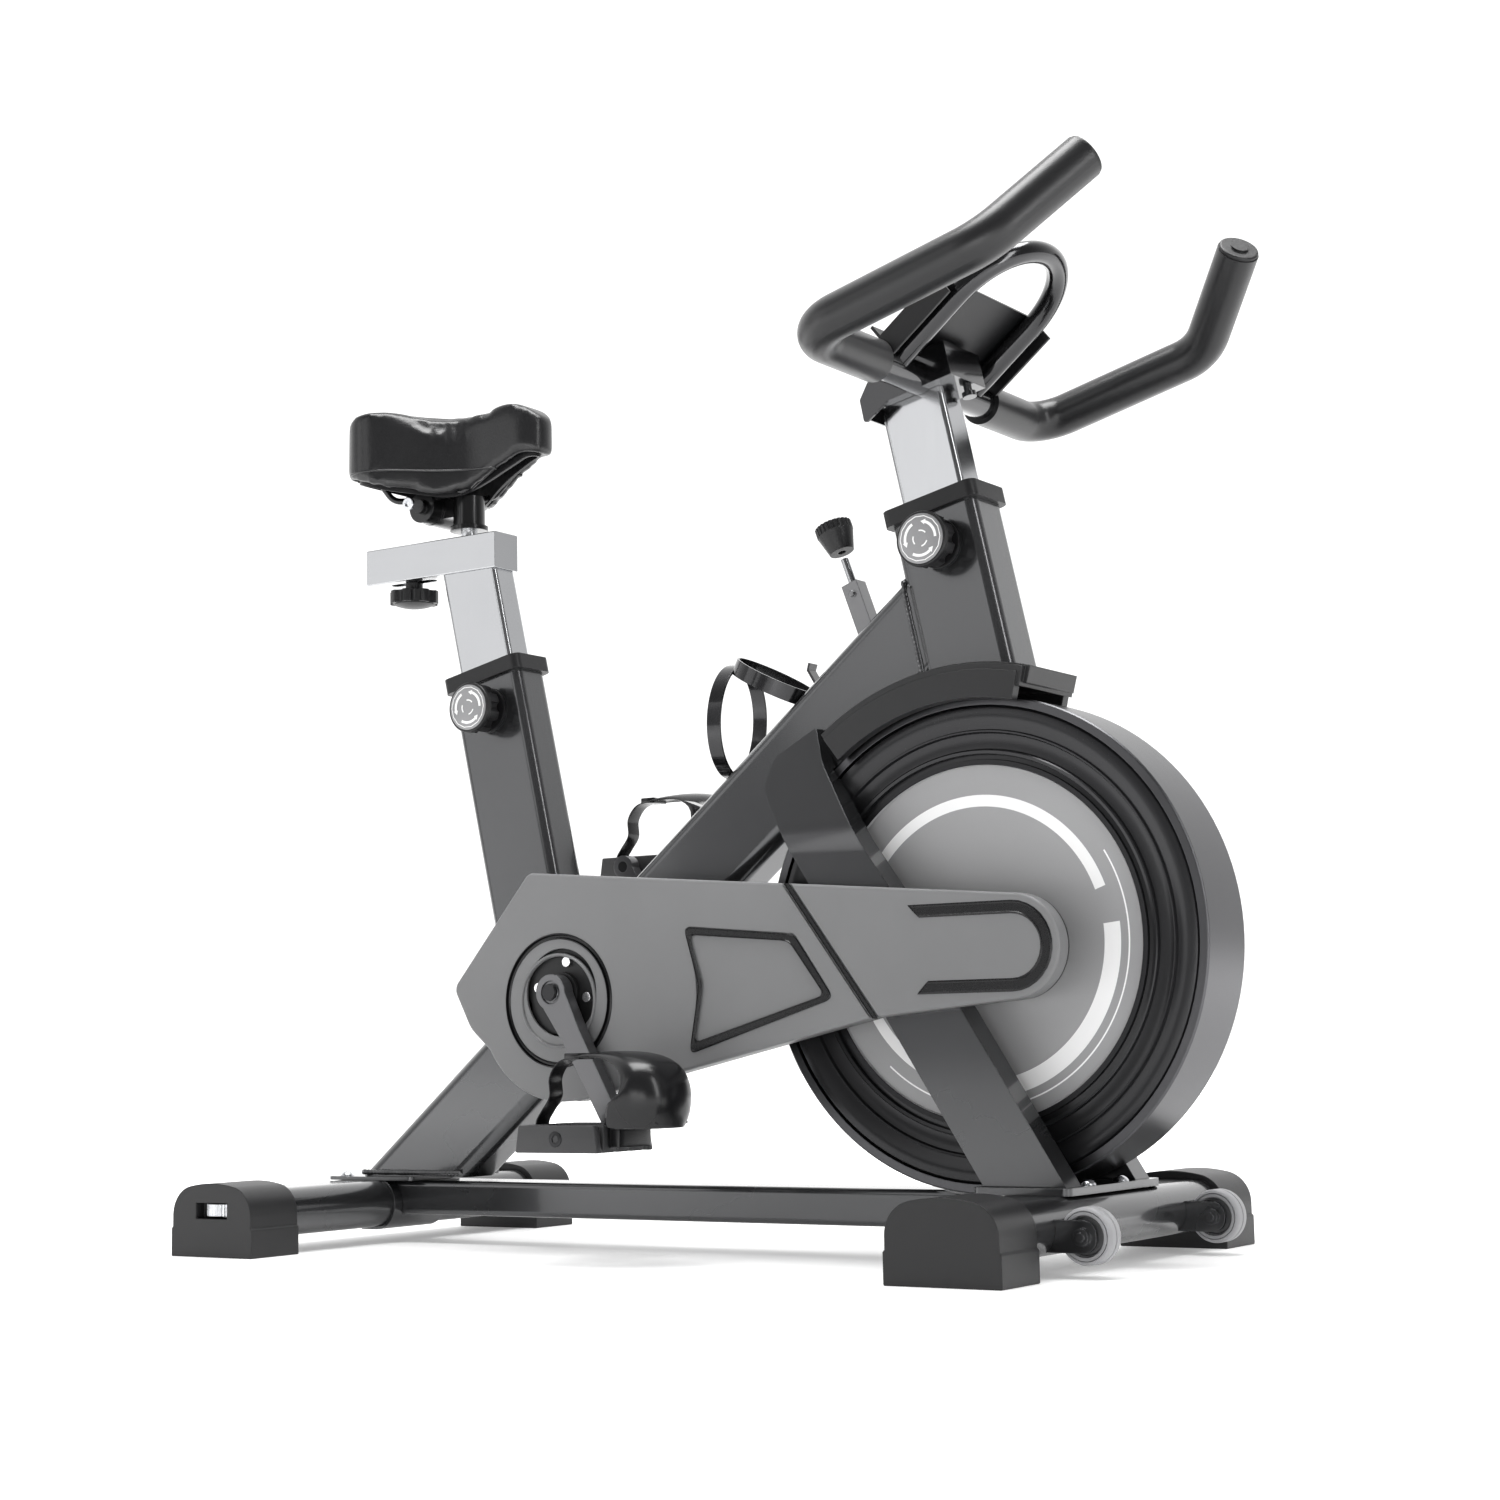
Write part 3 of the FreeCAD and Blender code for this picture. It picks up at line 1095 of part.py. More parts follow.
# ---------------------------------------------------------------- handlebar
def bar_post():
    tube = post(HEAD_AXIS, 575.0, 900.0, BAR_POST_DEPTH, BAR_POST_WIDTH, 2.0)
    roof = bracket_plane(0.0, -400.0)
    tube = tube.common(roof)
    return pin_holes(tube, HEAD_AXIS, HEAD_PIN_Z, 3, 25.0)


BRACKET_BASE = 830.3


def bracket_plane(raise_by, depth):
    """Slab square to the leaning post; its top is the bracket's underside."""
    start = lean_point(HEAD_AXIS, BRACKET_BASE + raise_by)
    slab = Part.makeBox(300.0, 300.0, abs(depth), Vector(-150, -150, depth if depth < 0 else 0))
    return lay_along(slab, start, LEAN_ANGLE)


def bar_bracket():
    """Folded steel box on the post that holds the cross bar and the tray."""
    start = lean_point(HEAD_AXIS, BRACKET_BASE, 14.0)
    outer = Part.makeBox(84.0, 70.0, 35.0, Vector(-42.0, -35.0, 0))
    inner = Part.makeBox(78.0, 64.0, 40.0, Vector(-39.0, -32.0, 3.0))
    shell = lay_along(outer.cut(inner), start, LEAN_ANGLE)
    ears = [plate([(202, 858, 0), (190, 848, 4), (181, 832, 4), (186, 807, 3), (212, 826, 0)], y, y + 3)
            for y in (-35, 32)]
    back = plate([(183, 832, 0), (186.2, 812, 0), (189, 812, 0), (186, 832, 0)], -34, 34)
    bracket = join([shell, back] + ears)
    bracket = bracket.cut(rod_y(BAR_X, BAR_Z, BAR_R, -60, 60))
    bolt_spot = lean_point(HEAD_AXIS, BRACKET_BASE, 46.0)
    bolt = lay_along(Part.makeCylinder(4.0, 22.0, Vector(0, 16, -9)), bolt_spot, LEAN_ANGLE)
    head = lay_along(Part.makeCylinder(7.0, 5.0, Vector(0, 16, -10)), bolt_spot, LEAN_ANGLE)
    return join([biggest(bracket), bolt, head])


BAR_POINTS = [(497.5, 170, 974), (429.5, 230, 896), (BAR_X, 228, BAR_Z)]
GRIP_START = 104.5
BAR_BENDS = [55.0, 38.0]


def bar_route(inner_y):
    left = BAR_POINTS + [(BAR_X, inner_y, BAR_Z)]
    return bent_wire(left, BAR_BENDS)


def handlebar():
    points = BAR_POINTS + [(x, -y, z) for x, y, z in reversed(BAR_POINTS)]
    path = bent_wire(points, BAR_BENDS + BAR_BENDS[::-1])
    return swept_rod(path, BAR_R).cut(swept_rod(path, BAR_R - 2.0))


def bar_grips():
    path = bar_route(GRIP_START)
    grip = swept_rod(path, GRIP_R).cut(swept_rod(path, BAR_R + 0.02))
    return Part.makeCompound([grip, mirror_y(grip)])


def bar_end_plugs():
    tip = Vector(*BAR_POINTS[0])
    heading = tip.sub(Vector(*BAR_POINTS[1])).normalize()
    head = Part.makeCylinder(GRIP_R - 1.0, 4.0, tip, heading)
    head = head.makeFillet(2.0, [e for e in head.Edges if e.BoundBox.Center.sub(tip).Length > 3
                                 and abs(e.Length - 2 * math.pi * (GRIP_R - 1)) < 0.1])
    boss = Part.makeCylinder(9.0, 6.0, tip, heading)
    stem = Part.makeCylinder(BAR_R - 2.0, 18.0, tip.sub(Vector(heading).multiply(18.0)), heading)
    plug = join([head, boss, stem])
    return Part.makeCompound([plug, mirror_y(plug)])


def loop_spot(along, above=0.0):
    slope = math.radians(LOOP_SLOPE)
    return (252.0 + along * math.cos(slope) - above * math.sin(slope),
            856.0 + along * math.sin(slope) + above * math.cos(slope))


def center_loop():
    """Bent inner handle, welded to the cross bar at both ends."""
    root = loop_spot(-12.0)
    far = loop_spot(LOOP_ARM)
    crown = loop_spot(LOOP_ARM + LOOP_HALF)
    edges = [Part.LineSegment(Vector(root[0], -LOOP_HALF, root[1]),
                              Vector(far[0], -LOOP_HALF, far[1])).toShape(),
             Part.Arc(Vector(far[0], -LOOP_HALF, far[1]), Vector(crown[0], 0, crown[1]),
                      Vector(far[0], LOOP_HALF, far[1])).toShape(),
             Part.LineSegment(Vector(far[0], LOOP_HALF, far[1]),
                              Vector(root[0], LOOP_HALF, root[1])).toShape()]
    path = Part.Wire(edges)
    tube = swept_rod(path, LOOP_R).cut(swept_rod(path, LOOP_R - 2.0))
    return biggest(tube.cut(rod_y(BAR_X, BAR_Z, BAR_R, -200, 200)))


TRAY_HALF = 103.0


def console():
    """Tray for a tablet over the loop's arms, with the display housing moulded on it."""
    base = Part.makeBox(3.5, 2 * TRAY_HALF, 84.0, Vector(-15.5, -TRAY_HALF, 2.0))
    near = Part.makeBox(24.0, 3.0, 80.0, Vector(-15.5, -TRAY_HALF, 3.0))
    far = Part.makeBox(24.0, 3.0, 80.0, Vector(-15.5, TRAY_HALF - 3.0, 3.0))
    ledge = Part.makeBox(14.0, 2 * TRAY_HALF, 3.0, Vector(-29.0, -TRAY_HALF, 2.0))
    display = rounded_box_section(20.0, 104.0, 6.0, 66.0)
    display.translate(Vector(-25.0, 0, 12.0))
    spacer = Part.makeBox(4.0, 60.0, 60.0, Vector(-16.0, -30.0, 10.0))
    whole = join([base, near, far, ledge, display, spacer])
    return lay_along(whole, loop_spot(0.0), LOOP_SLOPE)


# ---------------------------------------------------------------- write the sub-parts
def trimmed(shape, tool):
    """Each solid of a shape with the room of another part taken out of it."""
    whole = Part.makeCompound(shape) if isinstance(shape, list) else shape
    return [biggest(solid.cut(tool)) for solid in whole.Solids]


def write(node, shape):
    if isinstance(shape, list):
        shape = Part.makeCompound(shape)
    solids = shape.Solids
    if not solids:
        raise RuntimeError(node + " has no solid")
    whole = solids[0] if len(solids) == 1 else Part.makeCompound(solids)
    whole.exportStep("parts/" + node + ".step")
    box = whole.BoundBox
    print("%-22s solids %d volume %10.0f valid %s  x %7.1f %7.1f  y %7.1f %7.1f  z %7.1f %7.1f" % (
        node, len(solids), whole.Volume, whole.isValid(), box.XMin, box.XMax, box.YMin, box.YMax,
        box.ZMin, box.ZMax))


def main():
    os.makedirs("parts", exist_ok=True)
    write("rear_stabilizer", drill_for_bolts(stabilizer(REAR_X)))
    write("front_stabilizer", drill_for_bolts(stabilizer(FRONT_X)))
    write("front_caps", [end_cap(FRONT_X, -1), end_cap(FRONT_X, 1)])
    write("rear_caps", [rear_cap(-1), rear_cap(1)])
    write("right_level_foot", level_foot(-1))
    write("left_level_foot", level_foot(1))
    write("base_beam", base_beam())
    write("stabilizer_plates", drill_for_bolts(stabilizer_plates()))
    write("frame_bolts", frame_bolts())
    write("wheel_brackets", wheel_brackets())
    write("right_transport_wheel", transport_wheel(-1))
    write("left_transport_wheel", transport_wheel(1))
    write("main_tube", main_tube())
    write("seat_tube", seat_tube())
    write("head_tube", head_tube())
    write("tube_collars", trimmed(tube_collars(), head_tube()))
    write("fork_legs", fork_legs())
    write("bottom_bracket_shell", bottom_bracket_shell())
    write("bearings", bearings())
    write("chain_cover_outer", chain_cover_outer())
    write("chain_cover_inner", chain_cover_inner())
    write("wheel_guard", wheel_guard())
    write("bottle_cage", biggest(bottle_cage().cut(main_tube_filled())))
    write("brake_housing", brake_housing())
    write("brake_rod", brake_rod())
    write("brake_pad", brake_pad())
    write("brake_knob", brake_knob())
    write("seat_pin", pull_pin(SEAT_AXIS, SEAT_PIN_Z, SEAT_TUBE_WIDTH / 2, SEAT_POST_WIDTH / 2))
    write("seat_pin_knob", pin_knob(SEAT_AXIS, SEAT_PIN_Z, SEAT_TUBE_WIDTH / 2))
    write("head_pin", pull_pin(HEAD_AXIS, HEAD_PIN_Z, HEAD_TUBE_WIDTH / 2, BAR_POST_WIDTH / 2))
    write("head_pin_knob", pin_knob(HEAD_AXIS, HEAD_PIN_Z, HEAD_TUBE_WIDTH / 2))
    write("flywheel_rim", flywheel_rim())
    write("flywheel_covers", flywheel_covers())
    write("flywheel_web", flywheel_web())
    write("flywheel_axle", flywheel_axle())
    write("drive_belt", drive_belt())
    write("drive_pulley", drive_pulley())
    write("crank_spindle", crank_spindle())
    write("right_crank_arm", crank_arm(-1))
    write("left_crank_arm", crank_arm(1))
    write("crank_hardware", crank_hardware())
    write("right_pedal_body", pedal_body(-1))
    write("left_pedal_body", pedal_body(1))
    write("right_toe_cage", toe_cage(-1))
    write("left_toe_cage", toe_cage(1))
    write("seat_post", seat_post())
    write("seat_slide_rail", seat_slide_rail())
    write("seat_carriage", seat_carriage())
    write("seat_slide_knob", seat_slide_knob())
    write("saddle_clamp", saddle_clamp())
    write("saddle_rails", saddle_rails())
    write("saddle_shell", trimmed(saddle_shell(), saddle_rails()))
    write("saddle_pad", trimmed(saddle_pad(), saddle_rails()))
    write("bar_post", trimmed(bar_post(), handlebar()))
    write("bar_bracket", bar_bracket())
    write("handlebar", handlebar())
    write("bar_grips", bar_grips())
    write("bar_end_plugs", bar_end_plugs())
    write("center_loop", center_loop())
    write("console", trimmed(console(), bar_bracket()))


main()
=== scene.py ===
import math

import bmesh
import bpy
from mathutils import Matrix, Vector
from mathutils.bvhtree import BVHTree


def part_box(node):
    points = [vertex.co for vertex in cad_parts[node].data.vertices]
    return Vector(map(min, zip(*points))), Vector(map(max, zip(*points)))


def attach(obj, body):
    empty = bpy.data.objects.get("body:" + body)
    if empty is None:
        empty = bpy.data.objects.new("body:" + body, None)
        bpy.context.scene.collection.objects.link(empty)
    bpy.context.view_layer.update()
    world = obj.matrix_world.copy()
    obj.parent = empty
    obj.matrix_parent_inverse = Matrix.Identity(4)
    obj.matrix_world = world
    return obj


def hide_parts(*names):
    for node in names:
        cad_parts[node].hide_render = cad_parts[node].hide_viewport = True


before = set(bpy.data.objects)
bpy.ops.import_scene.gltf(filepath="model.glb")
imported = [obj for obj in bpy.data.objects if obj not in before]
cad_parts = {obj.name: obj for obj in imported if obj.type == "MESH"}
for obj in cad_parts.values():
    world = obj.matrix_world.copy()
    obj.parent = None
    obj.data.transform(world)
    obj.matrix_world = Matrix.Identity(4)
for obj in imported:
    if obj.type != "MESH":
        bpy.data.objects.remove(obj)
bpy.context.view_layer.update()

# Welded frame: rolled steel tubes with rounded corners, the fork legs and the floor beam, shot
# blasted and powder coated in a glossy charcoal. The coat has a faint orange peel and is a
# little duller low down, where shoes brush past.


class Wire:
    """A value inside a material; each operator adds the Math node of its name."""

    def __init__(self, tree, socket):
        self.tree = tree
        self.socket = socket

    def math(self, operation, *values):
        node = self.tree.nodes.new("ShaderNodeMath")
        node.operation = operation
        for socket, value in zip(node.inputs, values):
            plug(self.tree, socket, value)
        return Wire(self.tree, node.outputs[0])

    def __add__(self, other):
        return self.math("ADD", self, other)

    def __radd__(self, other):
        return self.math("ADD", other, self)

    def __sub__(self, other):
        return self.math("SUBTRACT", self, other)

    def __rsub__(self, other):
        return self.math("SUBTRACT", other, self)

    def __mul__(self, other):
        return self.math("MULTIPLY", self, other)

    def __rmul__(self, other):
        return self.math("MULTIPLY", other, self)

    def __gt__(self, other):
        return self.math("GREATER_THAN", self, other)

    def __lt__(self, other):
        return self.math("LESS_THAN", self, other)


def plug(tree, socket, value):
    """Links a wire to a socket, or sets the socket to a plain value."""
    if isinstance(value, Wire):
        tree.links.new(value.socket, socket)
    elif socket.type == "RGBA" and len(value) == 3:
        socket.default_value = (*value, 1.0)
    else:
        socket.default_value = value


class Finish:
    """A material made up for one kind of surface on the bike."""

    def __init__(self, name, **constants):
        self.material = bpy.data.materials.new(name)
        self.material.use_nodes = True
        self.tree = self.material.node_tree
        self.shader = self.tree.nodes["Principled BSDF"]
        self.set(**constants)

    def set(self, **values):
        for key, value in values.items():
            plug(self.tree, self.shader.inputs[key.replace("_", " ")], value)
        return self

    def node(self, kind, settings=None, out=0, **values):
        """Adds a node: its settings, then the values or wires of its sockets; gives one output."""
        node = self.tree.nodes.new(kind)
        for key, value in (settings or {}).items():
            if key == "stops":
                ramp = node.color_ramp
                while len(ramp.elements) < len(value):
                    ramp.elements.new(0.5)
                for element, (spot, shade) in zip(ramp.elements, value):
                    element.position = spot
                    element.color = (shade, shade, shade, 1.0)
            else:
                setattr(node, key, value)
        for key, value in values.items():
            name = key.strip("_").replace("_", " ")
            plug(self.tree, node.inputs[int(name) if name.isdigit() else name], value)
        return Wire(self.tree, node.outputs[out])

    def place(self):
        """The point of the surface, in metres."""
        return self.node("ShaderNodeTexCoord", out=3)

    def axes(self):
        """The x, y and z of the surface's point."""
        split = self.node("ShaderNodeSeparateXYZ", Vector=self.place())
        outputs = split.socket.node.outputs
        return [Wire(self.tree, outputs[i]) for i in range(3)]

    def noise(self, scale, detail=3.0, rough=0.5, stretch=None):
        point = self.place()
        if stretch:
            point = self.node("ShaderNodeMapping", Vector=point, Scale=stretch)
        return self.node("ShaderNodeTexNoise", Vector=point, Scale=scale, Detail=detail, Roughness=rough)

    def mix(self, factor, first, second):
        """Blends two colours."""
        return self.node("ShaderNodeMix", {"data_type": "RGBA"}, out=2, _0=factor, _6=first, _7=second)

    def shade(self, height, strength, depth, edge=0.0):
        """Turns a height into a bump, over edges softened by a radius."""
        values = {"Height": height, "Strength": strength, "Distance": depth}
        if edge:
            values["Normal"] = self.node("ShaderNodeBevel", {"samples": 4}, Radius=edge)
        return self.set(Normal=self.node("ShaderNodeBump", **values))

    def tone(self, colour, spread, field):
        """Lets a colour drift a little lighter and darker with a noise field."""
        dark = tuple(c * (1.0 - spread) for c in colour)
        light = tuple(c * (1.0 + spread) for c in colour)
        return self.set(Base_Color=self.mix(field, dark, light))


def dress(finish, *nodes):
    """Gives CAD nodes a finish."""
    for node in nodes:
        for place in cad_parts[node].material_slots:
            place.material = finish.material


def powder_coat(name, colour, roughness, coat):
    paint = Finish(name, Metallic=0.75, Coat_Roughness=0.08, Coat_IOR=1.5)
    peel = paint.noise(220.0, detail=2.0)
    cloud = paint.noise(6.0, detail=4.0)
    height = paint.axes()[2]
    below_knee = 0.35 - height
    scuff = below_knee.math("MAXIMUM", below_knee, 0.0) * 0.25
    paint.set(Roughness=cloud * 0.08 + scuff * cloud + roughness, Coat_Weight=coat)
    paint.tone(colour, 0.10, cloud)
    return paint.shade(peel, 0.03, 0.0003, edge=0.0016)


frame_paint = powder_coat("charcoal_powder_coat", (0.080, 0.081, 0.084), 0.20, 0.8)
dress(frame_paint, "main_tube", "seat_tube", "head_tube", "fork_legs", "base_beam", "bottom_bracket_shell")
dress(frame_paint, "rear_stabilizer", "front_stabilizer", "stabilizer_plates", "wheel_brackets")

# Zinc-plated carriage bolts and turned steel: they hold the stabilizers, carry the axles and
# guide the plungers. Plating is bright, with fine turning lines and a slightly cloudy sheen.


def plated_steel(name, colour, roughness):
    plating = Finish(name, Metallic=1.0)
    lines = plating.noise(900.0, detail=2.0, stretch=(1.0, 0.12, 1.0))
    cloud = plating.noise(30.0)
    plating.set(Roughness=cloud * 0.14 + lines * 0.06 + roughness)
    plating.tone(colour, 0.07, cloud)
    return plating.shade(lines, 0.10, 0.0002, edge=0.0006)


zinc = plated_steel("zinc_plating", (0.68, 0.69, 0.71), 0.16)
dress(zinc, "frame_bolts", "bearings", "flywheel_axle", "crank_spindle", "seat_pin", "head_pin")
dress(zinc, "seat_carriage")

# Moulded end caps: thick polypropylene boots pushed over the four stabilizer ends, with a fine
# spark-eroded grain. A part line runs round each one where the foot meets the dome.


def moulded_plastic(name, colour, roughness, grain, depth, edge=0.0012):
    plastic = Finish(name)
    plastic.set(Specular_IOR_Level=0.5)
    pores = plastic.noise(grain, detail=2.0, rough=0.6)
    cloud = plastic.noise(9.0, detail=4.0)
    plastic.set(Roughness=cloud * 0.12 + pores * 0.08 + roughness)
    plastic.tone(colour, 0.09, cloud)
    return plastic.shade(pores, 0.35, depth, edge=edge)


cap_plastic = moulded_plastic("end_cap_grain", (0.026, 0.026, 0.027), 0.28, 1500.0, 0.0003, 0.0022)
dress(cap_plastic, "front_caps", "rear_caps")

black_plastic = moulded_plastic("black_nylon", (0.012, 0.012, 0.013), 0.30, 1700.0, 0.0002)
dress(black_plastic, "tube_collars", "seat_slide_knob")
dress(zinc, "right_level_foot", "left_level_foot")
dress(black_plastic, "seat_pin_knob", "head_pin_knob", "brake_knob", "bar_end_plugs", "console")

# Transport wheels: a grey solid tyre moulded round a nylon hub, turning on the bracket's bolt.
# The tyre's shoulders are round and a shallow groove splits its tread.


def piece(name, shape, finish, body, slot, *replaced, sharp=32.0):
    """Makes a finished bmesh a piece that rides on a body in place of some CAD nodes."""
    mesh = bpy.data.meshes.new(name)
    shape.to_mesh(mesh)
    shape.free()
    mesh.shade_smooth()
    mesh.set_sharp_from_angle(angle=math.radians(sharp))
    mesh.materials.append(finish.material)
    thing = bpy.data.objects.new(name, mesh)
    bpy.context.collection.objects.link(thing)
    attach(thing, body)
    if replaced:
        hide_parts(*replaced)
    return thing


def tidy(shape, gap=1e-6):
    """Closes seams and points every face outwards."""
    bmesh.ops.remove_doubles(shape, verts=shape.verts, dist=gap)
    bmesh.ops.recalc_face_normals(shape, faces=shape.faces)
    return shape


def turned(outline, centre, steps=64, axis=(0, 1, 0), closed=True):
    """Spins an outline of (radius, along the axis) points right round the axis."""
    shape = bmesh.new()
    along = Vector(axis).normalized()
    out = along.orthogonal().normalized()
    verts = [shape.verts.new(Vector(centre) + out * r + along * a) for r, a in outline]
    pairs = list(zip(verts, verts[1:] + verts[:1])) if closed else list(zip(verts, verts[1:]))
    edges = [shape.edges.new(pair) for pair in pairs]
    bmesh.ops.spin(shape, geom=verts + edges, cent=centre, axis=along, angle=2 * math.pi, steps=steps,
                   use_merge=True, use_duplicate=False)
    return tidy(shape)


def middle(node):
    low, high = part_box(node)
    return (Vector(low) + Vector(high)) / 2


def size(node):
    low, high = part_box(node)
    return Vector(high) - Vector(low)


def add_to(shape, *others):
    """Gathers other bmeshes into one."""
    for other in others:
        spare = bpy.data.meshes.new("spare")
        other.to_mesh(spare)
        other.free()
        shape.from_mesh(spare)
        bpy.data.meshes.remove(spare)
    return shape


tyre_rubber = moulded_plastic("grey_tyre", (0.34, 0.34, 0.35), 0.42, 700.0, 0.0002)
hub_nylon = moulded_plastic("hub_nylon", (0.16, 0.16, 0.165), 0.33, 1200.0, 0.0002)
for side in ("right", "left"):
    node = side + "_transport_wheel"
    spot = middle(node)
    radius = size(node).z / 2
    half = size(node).y / 2
    shoulder = 0.004
    tread = [(radius - 0.0035, -half)]
    for i in range(7):
        turn = math.radians(15 * i)
        tread.append((radius - shoulder + shoulder * math.sin(turn),
                      -half + shoulder - shoulder * math.cos(turn)))
    tread += [(radius, -0.0012), (radius - 0.0012, -0.0006)]
    tread += [(r, -a) for r, a in reversed(tread)]
    tyre = turned(tread + [(radius * 0.72, half), (radius * 0.70, half - 0.002),
                           (radius * 0.70, -half + 0.002),
                           (radius * 0.72, -half)], spot, 72)
    piece(side + "_tyre", tyre, tyre_rubber, side + "_wheel", "wheel_rubber", node)
    bore = 0.0043
    hub = turned([(radius * 0.70, half - 0.0022), (radius * 0.66, half - 0.0022),
                  (radius * 0.63, half - 0.0045),
                  (radius * 0.40, half - 0.0045), (radius * 0.37, half - 0.0005), (bore, half - 0.0005),
                  (bore, -half + 0.0005), (radius * 0.37, -half + 0.0005), (radius * 0.40, -half + 0.0045),
                  (radius * 0.63, -half + 0.0045), (radius * 0.66, -half + 0.0022),
                  (radius * 0.70, -half + 0.0022)],
                 spot, 48)
    piece(side + "_wheel_hub", hub, hub_nylon, side + "_wheel", "knob_plastic")

# Weld beads: rippled seams on both flanks of the head tube joint and across its top, and along both sides of
# the cradle low down, laid by hand before the coat.


def bead(name, corners, radius=0.0028):
    """A rippled weld seam through a chain of points."""
    shape = bmesh.new()
    route = []
    for a, b in zip(corners, corners[1:]):
        start, stop = Vector(a), Vector(b)
        count = max(int((stop - start).length / 0.0016), 1)
        route += [start.lerp(stop, i / count) for i in range(count)]
    route.append(Vector(corners[-1]))
    rings = []
    for i, spot in enumerate(route):
        run = (route[min(i + 1, len(route) - 1)] - route[max(i - 1, 0)]).normalized()
        out = run.orthogonal().normalized()
        up = run.cross(out)
        swell = radius * (1.0 + 0.14 * math.sin(i * 2.1) + 0.06 * math.sin(i * 0.37))
        rings.append([shape.verts.new(spot + (out * math.cos(t) + up * math.sin(t)) * swell)
                      for t in (math.pi * k / 4 for k in range(8))])
    for first, second in zip(rings, rings[1:]):
        for k in range(8):
            shape.faces.new((first[k], first[(k + 1) % 8], second[(k + 1) % 8], second[k]))
    shape.faces.new(rings[0])
    shape.faces.new(rings[-1])
    return piece(name, tidy(shape), frame_paint, "frame", "frame_paint", sharp=60)


for side in (-1, 1):
    name = "right" if side < 0 else "left"
    flank = side * 0.0300
    bead(name + "_head_weld",
         [(0.2222, side * 0.018, 0.6500), (0.2215, flank * 0.93, 0.6460), (0.2240, flank, 0.6340),
                               (0.2425, flank, 0.5490)])
    bead(name + "_cradle_weld", [(-0.4800, flank * 0.9, 0.0745), (-0.4740, flank * 1.02, 0.0745),
                                 (-0.3390, flank * 1.02, 0.0745)])
bead("head_top_weld", [(0.2222, -0.018, 0.6500), (0.2222, 0.018, 0.6500)])

# Flywheel: a turned steel rim on a cast iron web, hidden behind a dished trim disc on each side.
# The rim's tread is brushed; the trim is black at the rim, stepped, and silver grey inside.

wheel = middle("flywheel_rim")


def radius_about(finish, centre):
    """Distance of the surface's point from an axis along Y."""
    x, _, z = finish.axes()
    across = x - centre.x
    up = z - centre.z
    square = across * across + up * up
    return square.math("SQRT", square)


brushed_rim = Finish("brushed_rim", Metallic=1.0)
turning = brushed_rim.noise(260.0, detail=4.0, rough=0.7, stretch=(0.02, 6.0, 0.02))
stain = brushed_rim.noise(7.0)
brushed_rim.set(Roughness=turning * 0.16 + stain * 0.06 + 0.20)
brushed_rim.tone((0.115, 0.115, 0.12), 0.16, turning)
brushed_rim.shade(turning, 0.12, 0.0003, edge=0.0012)
dress(brushed_rim, "flywheel_rim")

iron = plated_steel("painted_iron", (0.06, 0.06, 0.06), 0.45)
dress(iron, "flywheel_web")

trim = Finish("trim_disc", Specular_IOR_Level=0.55)
reach = radius_about(trim, wheel)
grain = trim.noise(800.0, detail=2.0)
drift = trim.noise(5.0, detail=3.0)
BLACK_RIM_FROM = 0.1665
PRINT_BAND_FROM = 0.1275
PRINT_BAND_TO = 0.1385
rim_zone = reach > BLACK_RIM_FROM
band = (reach > PRINT_BAND_FROM) * (reach < PRINT_BAND_TO)
angle_x, _, angle_z = trim.axes()
disc_rise = angle_z - wheel.z
heading = disc_rise.math("ARCTAN2", disc_rise, angle_x - wheel.x)
fine_line = (reach > 0.1515) * (reach < 0.1530) * (heading < 0.55) * (heading > -2.3)
gap = (heading < 0.35) * (heading > 0.10)
wide_arc = (reach > 0.1385) * (reach < 0.1440) * (heading < 0.10) * (heading > -1.9)
ink = band * (1.0 - gap) + fine_line + wide_arc
print_mask = ink.math("MINIMUM", ink, 1.0)
silver = trim.mix(drift, (0.31, 0.31, 0.315), (0.36, 0.36, 0.365))
printed = trim.mix(print_mask, silver, (0.86, 0.86, 0.86))
trim.set(Base_Color=trim.mix(rim_zone, printed, (0.030, 0.030, 0.032)))
trim.set(Roughness=rim_zone * -0.12 + grain * 0.06 + drift * 0.05 + 0.32)
trim.set(Metallic=rim_zone * 0.35)
trim.shade(grain, 0.12, 0.0002)


def trim_disc(side):
    """One dished trim disc: outer roll, grooves, the bright ridge and the flat silver middle."""
    steps = [(0.0320, 0.0335), (0.0335, 0.0345), (0.1655, 0.0345), (0.1668, 0.0370), (0.1715, 0.0372),
             (0.1722, 0.0340), (0.1762, 0.0336), (0.1772, 0.0374), (0.1800, 0.0380), (0.1812, 0.0370),
             (0.1822, 0.0335), (0.1905, 0.0330), (0.1962, 0.0348), (0.1975, 0.0382), (0.1990, 0.0384),
             (0.2002, 0.0362), (0.2040, 0.0372), (0.2100, 0.0392), (0.2160, 0.0396), (0.2205, 0.0386),
             (0.2226, 0.0362), (0.2226, 0.0330), (0.1990, 0.0310), (0.0320, 0.0310)]
    outline = [(r, side * a) for r, a in steps]
    return turned(outline, Vector((wheel.x, 0, wheel.z)), 160)


for side in (-1, 1):
    name = "right" if side < 0 else "left"
    disc = piece(name + "_trim_disc", trim_disc(side), trim, "flywheel", "disc_plastic", sharp=26.0)
    if side < 0:
        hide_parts("flywheel_covers")
